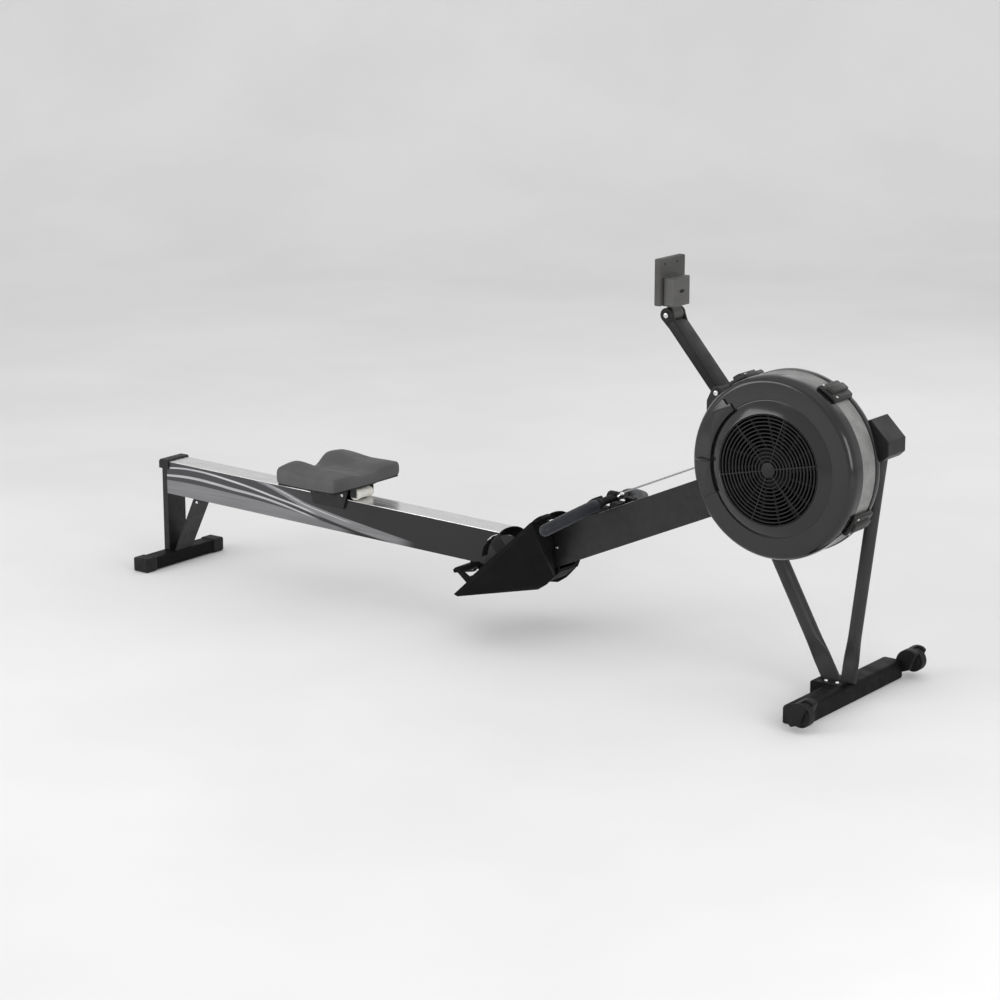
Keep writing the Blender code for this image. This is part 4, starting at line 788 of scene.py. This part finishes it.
def build_caster(side, tag):
    """Hooded fork, the plug that holds it in the foot bar, and a ribbed wheel."""
    low, high = 0.2474, 0.309
    centre = (CASTER_X, CASTER_Z)
    outline = arc(centre, 0.0345, 50, 235, 36) + [(CASTER_X + 0.004, 0.024)]
    fork = bmesh.new()
    for y0, y1 in ((low, CASTER_Y - 0.013), (CASTER_Y + 0.013, high)):
        join_into(fork, extruded(outline, y0, y1, 0.0022))
    bridge = arc(centre, 0.034, 92, 233, 30) + arc(centre, 0.0322, 233, 92, 30)
    join_into(fork, extruded(bridge, low + 0.002, high - 0.002))
    rib = arc(centre, 0.0345, 62, 218, 30) + arc(centre, 0.0325, 218, 62, 30)
    join_into(fork, extruded(rib, high - 0.0004, high))
    plug = foot_section(FRONT_FOOT_X - 0.0295, FRONT_FOOT_X + 0.0295, 0.001, 0.0485)
    join_into(fork, extruded(plug, low, low + 0.005, 0.0012, 2))
    if side < 0:
        mirror_y(fork)
    finish_piece("caster_housing_" + tag, fork, PLASTIC, "frame", ["caster_fork_" + tag])
    radius = CASTER_RADIUS
    tread = [(0.0056, -0.0115), (0.018, -0.0115), (0.0195, -0.01), (0.025, -0.01), (0.0265, -0.0115),
             (0.0285, -0.0115), (radius, -0.01)]
    for y in (-0.0062, -0.0008, 0.0046):
        tread += [(radius, y), (0.0282, y + 0.0004), (0.0282, y + 0.0012), (radius, y + 0.0016)]
    tread += [(radius, 0.01), (0.0285, 0.0115), (0.0265, 0.0115), (0.025, 0.01), (0.0195, 0.01),
              (0.018, 0.0115), (0.0056, 0.0115)]
    wheel = spun(tread, (CASTER_X, side * CASTER_Y, CASTER_Z), steps=64)
    finish_piece("caster_tyre_" + tag, wheel, RUBBER, "caster_wheel_" + tag, ["caster_wheel_" + tag])
    add_bolt("caster_bolt_" + tag, (CASTER_X, side * (high - 0.0019), CASTER_Z), (0, side, 0), 0.0066, 0.0018)


# ---------------------------------------------------------------- handle and chain
def handle_point(y):
    share = max(0.0, (abs(y) - 0.03) / (HANDLE_SPAN - 0.03)) ** 1.25
    return Vector((HANDLE_X - 0.067 * share, y, HANDLE_Z - 0.056 * share))


def build_handle():
    core = [handle_point(-0.08 + 0.16 * k / 32) for k in range(33)]
    bar = tube(core, [0.0105] * 33, 28)
    hub = [(0.0, -0.017), (0.015, -0.017), (0.0168, -0.0155), (0.0175, -0.013), (0.0175, 0.004),
           (0.0165, 0.0066), (0.012, 0.0085), (0.0, 0.0085)]
    join_into(bar, spun(hub, (HANDLE_X, 0.0, HANDLE_Z), (1, 0, 0), closed=False))
    for side in (-1, 1):
        collar = [handle_point(side * (0.056 + 0.002 * k)) for k in range(8)]
        join_into(bar, tube(collar, [0.011, 0.0128, 0.0136, 0.014, 0.0142, 0.0142, 0.014, 0.013], 32))
    finish_piece("handle_core", bar, PLASTIC, "handle", ["handle_bar"])
    count, start = 44, 0.0712
    for side, tag in SIDES:
        path, radii = [], []
        for k in range(count + 1):
            t = k / count
            path.append(handle_point(side * (start + (HANDLE_SPAN - start) * t)))
            radius = 0.016 + 0.0011 * sin(pi * min(1.0, t * 1.1)) - 0.0004 * abs(sin(pi * 10 * t))
            if t > 0.93:
                radius *= sqrt(max(0.0, 1.0 - ((t - 0.93) / 0.0745) ** 2)) * 0.9 + 0.1
            if t < 0.04:
                radius *= 0.88 + 3.0 * t
            radii.append(radius)
        grip = tube(path, radii, 40)
        piece = finish_piece("grip_sleeve_" + tag, grip, GRIP, "handle", ["grip_" + tag], angle=50.0)


def chain_link(middle, ahead, up, half_pitch, wide):
    """Two figure-of-eight side plates and their rollers."""
    link = bmesh.new()
    gap = 0.0023 if wide else 0.0012
    steps, round_end, thickness = 20, 0.0026, 0.0009
    for side in (-1, 1):
        outline = []
        for k in range(steps):
            angle = 2 * pi * k / steps
            at_end = abs(cos(angle)) > 0.25
            sx = half_pitch * (1 if cos(angle) > 0 else -1)
            outline.append((sx * (1.0 if at_end else 0.3) + round_end * cos(angle),
                    round_end * (1.0 if at_end else 0.72) * sin(angle)))
        inner = [middle + ahead * a + up * b + Vector((0.0, side * gap, 0.0)) for a, b in outline]
        outer = [p + Vector((0.0, side * thickness, 0.0)) for p in inner]
        add_skin(link, [[link.verts.new(p) for p in ring] for ring in (inner, outer)])
    for end in (-1, 1):
        centre = middle + ahead * (half_pitch * end)
        join_into(link, spun([(0.0, -gap), (0.0018, -gap), (0.0018, gap), (0.0, gap)], centre,
                steps=10, closed=False))
    return link


def build_chain():
    """Links from the handle's swivel into the casing, and the swivel."""
    lift = BEAM_DEPTH / 2 + CHAIN_LIFT
    start, end = (Vector((x, 0.0, beam_z(x, lift))) for x in (REAR + 1.64, REAR + 1.985))
    ahead = (end - start).normalized()
    up = Vector((-ahead.z, 0.0, ahead.x))
    pitch = 0.0064
    builder = bmesh.new()
    for k in range(int((end - start).length / pitch)):
        middle = start + ahead * (pitch * (k + 0.5))
        join_into(builder, chain_link(middle, ahead, up, pitch / 2, k % 2 == 0))
    chain = finish_piece("roller_chain", builder, CHAIN, None, angle=40.0)
    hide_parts("chain")
    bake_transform(chain)
    eye = Vector((HANDLE_X + 0.0095, 0.0, HANDLE_Z + 0.0012))
    swivel = spun([(0.0, 0.0), (0.0052, 0.0), (0.006, 0.0015), (0.006, 0.0075), (0.0048, 0.0095),
            (0.0042, 0.014), (0.006, 0.016), (0.006, 0.02), (0.0035, 0.023), (0.0, 0.023)],
            eye, tuple(start - eye), 32, closed=False)
    finish_piece("swivel_joint", swivel, BRIGHT, "handle", ["chain_swivel"])

# ---------------------------------------------------------------- foot straps and plates
def build_straps():
    """Flat webbing arch over the toes, its tail folded back through a cam buckle."""
    centre_y, thickness, steps = -0.105, 0.0024, 64
    near, far = 0.196, 0.234
    across = ((near, 0.0), (near + 0.003, 0.0004), ((near + far) / 2, 0.0009), (far - 0.003, 0.0004),
              (far, 0.0))
    tail = ((0.196, 0.046), (0.18, 0.05), (0.158, 0.047), (0.14, 0.037), (0.134, 0.031))
    for side, tag in SIDES:
        strap = bmesh.new()

        def arch(offset):
            rows = []
            for k in range(steps + 1):
                angle = pi * k / steps
                y = centre_y - (0.0535 + offset) * cos(angle)
                height = 0.0014 + (0.045 + offset) * sin(angle) ** 0.42
                places = [on_plate(along, height + swell * sin(angle)) for along, swell in across]
                rows.append([strap.verts.new((x, y, z)) for x, z in places])
            return rows

        top, low = arch(thickness), arch(0.0)
        add_skin(strap, [upper + lower[::-1] for upper, lower in zip(top, low)])
        rings = []
        for along, above in tail:
            x, z = on_plate(along, above)
            under_x, under_z = on_plate(along, above - 0.0018)
            corners = ((x, -0.141, z), (x, -0.115, z), (under_x, -0.115, under_z), (under_x, -0.141, under_z))
            rings.append([strap.verts.new(corner) for corner in corners])
        add_skin(strap, rings)
        buckle = bmesh.new()
        loop = []
        for along, y in ((0.186, -0.146), (0.202, -0.146), (0.202, -0.11), (0.186, -0.11)):
            x, z = on_plate(along, 0.05)
            loop.append((x, y, z))
        join_into(buckle, tube(loop, [0.0015] * 4, 12, closed=True))
        x, z = on_plate(0.194, 0.0505)
        join_into(buckle, cuboid((x, -0.128, z), (0.01, 0.028, 0.003), 0.0009, -atan2(0.239, 0.256)))
        if side > 0:
            mirror_y(strap)
            mirror_y(buckle)
        finish_piece("toe_strap_" + tag, strap, WEBBING, "frame", ["foot_strap_" + tag])
        finish_piece("strap_buckle_" + tag, buckle, BRIGHT)


def build_foot_details():
    """Front fold and bolt of each foot plate."""
    toe = Vector((TOE[0] - 0.0005, -0.162, TOE[1] - 0.013))
    low = Vector((REAR + 1.449, -0.053, 0.1985))
    run, out = Vector((0.0, 0.0035, 0.0)), Vector((0.0016, 0.0, -0.0004))
    for side, tag in SIDES:
        spot = (REAR + 1.4, side * 0.0535, 0.18)
        add_bolt("plate_bolt_{}_1".format(tag), spot, (0, side, 0), 0.006, 0.003)
        strip = bmesh.new()
        rings = []
        for t in (0.0, 0.25, 0.5, 0.75, 1.0):
            middle = toe.lerp(low, t)
            rings.append([strip.verts.new(p) for p in (middle - run - out * 0.4, middle - run + out,
                    middle + run + out, middle + run - out * 0.4)])
        add_skin(strip, rings)
        if side > 0:
            mirror_y(strip)
        finish_piece("plate_fold_" + tag, strip, PLASTIC)


# ---------------------------------------------------------------- seat
SEAT_X = REAR + 0.657
SEAT_BASE_Z = 0.3355
SEAT_HALF_LENGTH = 0.1105
SEAT_HALF_WIDTH = 0.153


def smooth_step(share):
    share = min(max(share, 0.0), 1.0)
    return share * share * (3.0 - 2.0 * share)


def seat_height(u, v):
    """Thickness over the seat's plan, -1 to 1 each way: two crests, a dished middle and a raised rear."""
    crest = smooth_step((abs(v) - 0.12) / 0.42)
    rear = smooth_step(0.15 - 0.95 * u)
    roll = 1.0 - 0.3 * smooth_step((abs(v) - 0.55) / 0.45)
    return 0.039 + 0.01 * crest + rear * (0.016 * crest * roll - 0.005 * (1.0 - crest))


def build_seat():
    """Dished foam saddle with a rolled top edge, over a thin moulded pan."""
    across, along = 44, 32
    builder = bmesh.new()

    def plan(i, j):
        """A grid point's place over the seat, with the rows closer together towards the edges."""
        shares = (2 * i / along - 1, 2 * j / across - 1)
        return [sin(radians(90) * share) * 0.35 + share * 0.65 for share in shares]

    def add_point(u, v, inset, height):
        x = SEAT_X + u * (1 - 0.045 * abs(v) ** 4) * (SEAT_HALF_LENGTH - inset)
        y = v * (1 - 0.04 * abs(u) ** 4) * (SEAT_HALF_WIDTH - inset)
        return builder.verts.new((x, y, SEAT_BASE_Z + height))

    top = {}
    for i in range(along + 1):
        for j in range(across + 1):
            u, v = plan(i, j)
            edge = max(abs(u), abs(v))
            drop = (0.009 - 0.002 * u) * edge ** 6
            inset = 0.0028 * max(0.0, (edge - 0.96) / 0.04) ** 2
            top[i, j] = add_point(u, v, inset, seat_height(u, v) - drop)
    for i in range(along):
        for j in range(across):
            builder.faces.new([top[i, j], top[i + 1, j], top[i + 1, j + 1], top[i, j + 1]])
    border = ([(i, 0) for i in range(along)] + [(along, j) for j in range(across)]
              + [(i, across) for i in range(along, 0, -1)] + [(0, j) for j in range(across, 0, -1)])
    rings = [[top[key] for key in border]]
    edge_places = [plan(*key) for key in border]
    for inset, share in ((0.0, 0.66), (0.0, 0.4), (0.0006, 0.2), (0.003, 0.1), (0.006, 0.085)):
        rings.append([add_point(u, v, inset, seat_height(u, v) * share) for u, v in edge_places])
    add_walls(builder, rings)
    builder.faces.new(rings[-1])
    seat = finish_piece("seat_cushion", builder, SEAT, "seat", ["seat_pad"], angle=70.0)
    soften = seat.modifiers.new("soften", "SUBSURF")
    soften.levels = 1
    soften.render_levels = 1
    pan = cuboid((SEAT_X, 0.0, SEAT_BASE_Z + 0.0026), (0.206, 0.288, 0.0052), 0.0018)
    finish_piece("seat_pan", pan, PLASTIC, "seat")


def build_rollers():
    """White rollers with two raised treads, and the carriage's bolts."""
    for node in ("seat_roller_rear", "seat_roller_front"):
        low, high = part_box(node)
        centre = ((low.x + high.x) / 2, 0.0, (low.z + high.z) / 2)
        radius = (high.z - low.z) / 2
        half = [(radius - 0.0016, 0.018), (radius, 0.02), (radius, 0.0322), (radius - 0.001, 0.0338),
                (radius - 0.003, 0.0345), (0.005, 0.0345)]
        spool = [(r, -y) for r, y in reversed(half)] + half
        finish_piece(node + "_spool", spun(spool, centre, steps=64), NYLON, node, [node])
    spots = [(SEAT_X + offset, side) for offset in (-0.052, 0.0, 0.052) for side in (-1, 1)]
    for number, (x, side) in enumerate(spots, start=1):
        add_bolt("carriage_bolt_" + str(number), (x, side * 0.0468, SEAT_BASE_Z - 0.026), (0, side, 0),
                 0.0048, 0.0026, "seat")


# ---------------------------------------------------------------- monitor
def build_monitor_details():
    """Dark discs of painted shade in the screw wells, battery latch and the lip round the battery cover."""
    back = TILT_X - 0.002
    well_shade = bmesh.new()
    # Each screw well is a thin near-black disc: painted shade in the hollow.
    for y in (-0.036, 0.02):
        join_into(well_shade, spun([(0.0, 0.0004), (0.003, 0.0004), (0.0036, 0.0), (0.0, 0.0)],
                (back, y, TILT_Z + 0.133), (1, 0, 0), 24, closed=False))
    finish_piece("back_screw_well_shade", well_shade, RUBBER, "monitor")
    latch = washer((TILT_X + 0.0338, -0.0125, TILT_Z + 0.064), (1, 0, 0), 0.0048, 0.0016, 0.0008, 40)
    for y in (-0.0185, -0.0065):
        join_into(latch, cuboid((TILT_X + 0.0345, y, TILT_Z + 0.064), (0.0024, 0.0065, 0.0062), 0.0009))
    finish_piece("battery_latch", latch, RUBBER, "monitor")
    lip = bmesh.new()
    for z in (TILT_Z + 0.099, TILT_Z + 0.0265):
        join_into(lip, cuboid((TILT_X + 0.0155, -0.0095, z), (0.0345, 0.0722, 0.0012), 0.0004))
    join_into(lip, cuboid((back + 0.0004, -0.0095, TILT_Z + 0.0995), (0.002, 0.074, 0.003), 0.0006))
    finish_piece("battery_lip", lip, BATTERY, "monitor")


def build_arm():
    """The arm with round ears, its two bolts and the dark rings round them."""
    foot, head = Vector((ARM_X, 0.0, ARM_Z)), Vector((TILT_X, 0.0, TILT_Z))
    along = (head - foot).normalized()
    across = Vector((-along.z, 0.0, along.x))
    above, below, half, hole = 0.016, 0.008, 0.031, 0.0046

    def slab(corners, y_low, y_high, bevel, segments):
        points = [base + along * run + across * rise for base, run, rise in corners]
        return extruded([(p.x, p.z) for p in points], y_low, y_high, bevel, segments)

    arm = slab(((foot, 0.01, -below), (head, -0.0215, -below), (head, -0.0215, above), (foot, 0.01, above)),
               -half, half, 0.0016, 3)
    join_into(arm, spun([(hole, -half), (0.0143, -half), (0.0155, -0.0298), (0.0155, 0.0298),
            (0.0143, half), (hole, half)], foot, steps=64))
    for side in (-1, 1):
        y0, y1 = sorted((side * 0.0228, side * half))
        join_into(arm, spun([(hole, y0), (0.018, y0), (0.019, y0 + 0.001), (0.019, y1 - 0.001),
                (0.018, y1), (hole, y1)], head, steps=64))
        join_into(arm, slab(((head, -0.03, -below), (head, -0.002, -0.0186), (head, -0.002, 0.0186),
                (head, -0.03, above)), y0 + 0.0002, y1 - 0.0002, 0.0008, 2))
    finish_piece("arm_plate", arm, ARM, "monitor_arm", ["monitor_arm"])
    for name, node, centre, reach, body in (("arm_pin_low", "lower_pivot_bolt", foot, 0.0385, "frame"),
            ("arm_pin_top", "upper_pivot_bolt", head, half, "monitor_arm")):
        pin = spun([(0.0, -reach), (0.0041, -reach), (0.0041, reach), (0.0, reach)], centre, steps=24,
                   closed=False)
        rings = bmesh.new()
        for side in (-1, 1):
            end = (centre.x, side * reach, centre.z)
            join_into(pin, bolt_head(end, (0, side, 0), 0.0075, 0.0048))
            join_into(rings, spun([(0.0076, 0.0), (0.0076, 0.0012), (0.01, 0.0012), (0.0107, 0.0006),
                    (0.0107, 0.0)], end, (0, side, 0), 40))
        finish_piece(name, pin, BRIGHT, body, [node])
        finish_piece(name + "_washers", rings, RUBBER, body)


# ---------------------------------------------------------------- fixings on the frame
def build_fixings():
    spots = (("joint_bolt", (REAR + 1.45, 0.04, 0.272), 0.0046),
             ("brace_bolt", (REAR + 0.139, 0.0345, 0.2025), 0.0042))
    for name, (x, y, z), radius in spots:
        for side, tag in SIDES:
            add_bolt(name + "_" + tag, (x, side * y, z), (0, side, 0), radius, 0.0028)
    add_bolt("cap_screw", (REAR + 2.418, 0.0, 0.7096), (0.038, 0.0, 0.051), 0.004, 0.0016)
    x, z = pivot_of("frame_lock_swing")
    for side, tag in SIDES:
        add_bolt("lock_bolt_" + tag, (x, side * 0.0495, z), (0, side, 0), 0.0058, 0.0032, "frame_lock")


dress_cad_nodes()
build_casing()
build_grille()
build_damper()
build_clamps()
build_casing_bolts()
build_leg("leg_tube_rear", "front_leg_rear", FRONT_FOOT_X - 0.037, REAR + 2.041, 0.0204)
build_leg("leg_tube_front", "front_leg_front", FRONT_FOOT_X + 0.0115, REAR + 2.396, 0.017)
build_front_foot()
for side, tag in SIDES:
    build_caster(side, tag)
build_handle()
build_chain()
build_straps()
build_foot_details()
build_seat()
build_rollers()
build_monitor_details()
build_arm()
build_fixings()


# ---------------------------------------------------------------- floor, light and camera
CAMERA_PLACE = (4.3703, -5.8861, 2.1707)
CAMERA_AZIMUTH, CAMERA_ELEVATION, CAMERA_ROLL = radians(36.531), radians(13.863), radians(-0.031)
CAMERA_LENS, CAMERA_SENSOR = 99.573, 36.0
FLOOR_TURN = radians(36.53)
FLOOR_DROP = 0.0004  # below the feet
WORLD_STRENGTH = 0.78


def build_stage():
    """A floor that curves up into a wall behind the machine, square to the camera."""
    floor = add_object("floor", bpy.data.meshes.new("floor"))
    builder = bmesh.new()
    profile = [(-14.0, 0.0), (6.0, 0.0)] + arc((6.0, 3.0), 3.0, -80, 0, 8) + [(9.0, 12.0)]
    ahead = Vector((-sin(FLOOR_TURN), cos(FLOOR_TURN), 0.0))
    side = Vector((ahead.y, -ahead.x, 0.0))
    rows = []
    for reach, height in profile:
        middle = ahead * reach + Vector((0.0, 0.0, height - FLOOR_DROP))
        rows.append([builder.verts.new(middle + side * across) for across in (-16.0, 16.0)])
    for first, second in zip(rows, rows[1:]):
        builder.faces.new([first[0], first[1], second[1], second[0]])
    bmesh.ops.recalc_face_normals(builder, faces=builder.faces)
    builder.to_mesh(floor.data)
    builder.free()
    floor.data.shade_smooth()
    look = Look("pale_floor", 0.7, specular=0.2)
    look.colour(look.blend(look.patches(1.2, 3.0), (0.8, 0.8, 0.8), (0.84, 0.84, 0.84)))
    floor.data.materials.append(look.material)


def area_light(name, place, aim, size, power):
    lamp = bpy.data.lights.new(name, "AREA")
    lamp.shape = "RECTANGLE"
    lamp.size, lamp.size_y = size
    lamp.energy = power
    light = add_object(name, lamp)
    light.location = place
    light.rotation_euler = (Vector(aim) - Vector(place)).to_track_quat("-Z", "Y").to_euler()


def build_lights():
    area_light("key_overhead", (0.6, -1.2, 4.2), (0.0, 0.0, 0.3), (4.5, 3.5), 16.0)
    area_light("front_fill", (4.6, -1.6, 1.6), (0.6, 0.0, 0.5), (2.4, 2.2), 60.0)
    area_light("side_fill", (-2.2, -4.0, 1.8), (-0.2, 0.0, 0.4), (3.0, 2.2), 72.0)
    area_light("back_rim", (0.5, 4.0, 2.6), (0.2, 0.0, 0.5), (4.0, 2.0), 18.0)
    world = bpy.data.worlds.new("studio")
    bpy.context.scene.world = world
    bpy.context.scene.view_settings.view_transform = "Standard"
    world.use_nodes = True
    background = world.node_tree.nodes["Background"]
    background.inputs["Color"].default_value = (1.0, 1.0, 1.0, 1.0)
    background.inputs["Strength"].default_value = WORLD_STRENGTH


def build_camera():
    azimuth, elevation = CAMERA_AZIMUTH, CAMERA_ELEVATION
    back = Vector((sin(azimuth) * cos(elevation), -cos(azimuth) * cos(elevation), sin(elevation)))
    right = Vector((cos(azimuth), sin(azimuth), 0.0))
    axes = Matrix((right, back.cross(right), back)).transposed().to_4x4()
    lens = bpy.data.cameras.new("camera")
    lens.lens = CAMERA_LENS
    lens.sensor_width = CAMERA_SENSOR
    lens.clip_end = 60.0
    camera = add_object("camera", lens)
    camera.matrix_world = Matrix.Translation(CAMERA_PLACE) @ axes @ Matrix.Rotation(CAMERA_ROLL, 4, "Z")
    bpy.context.scene.camera = camera


build_stage()
build_lights()
build_camera()
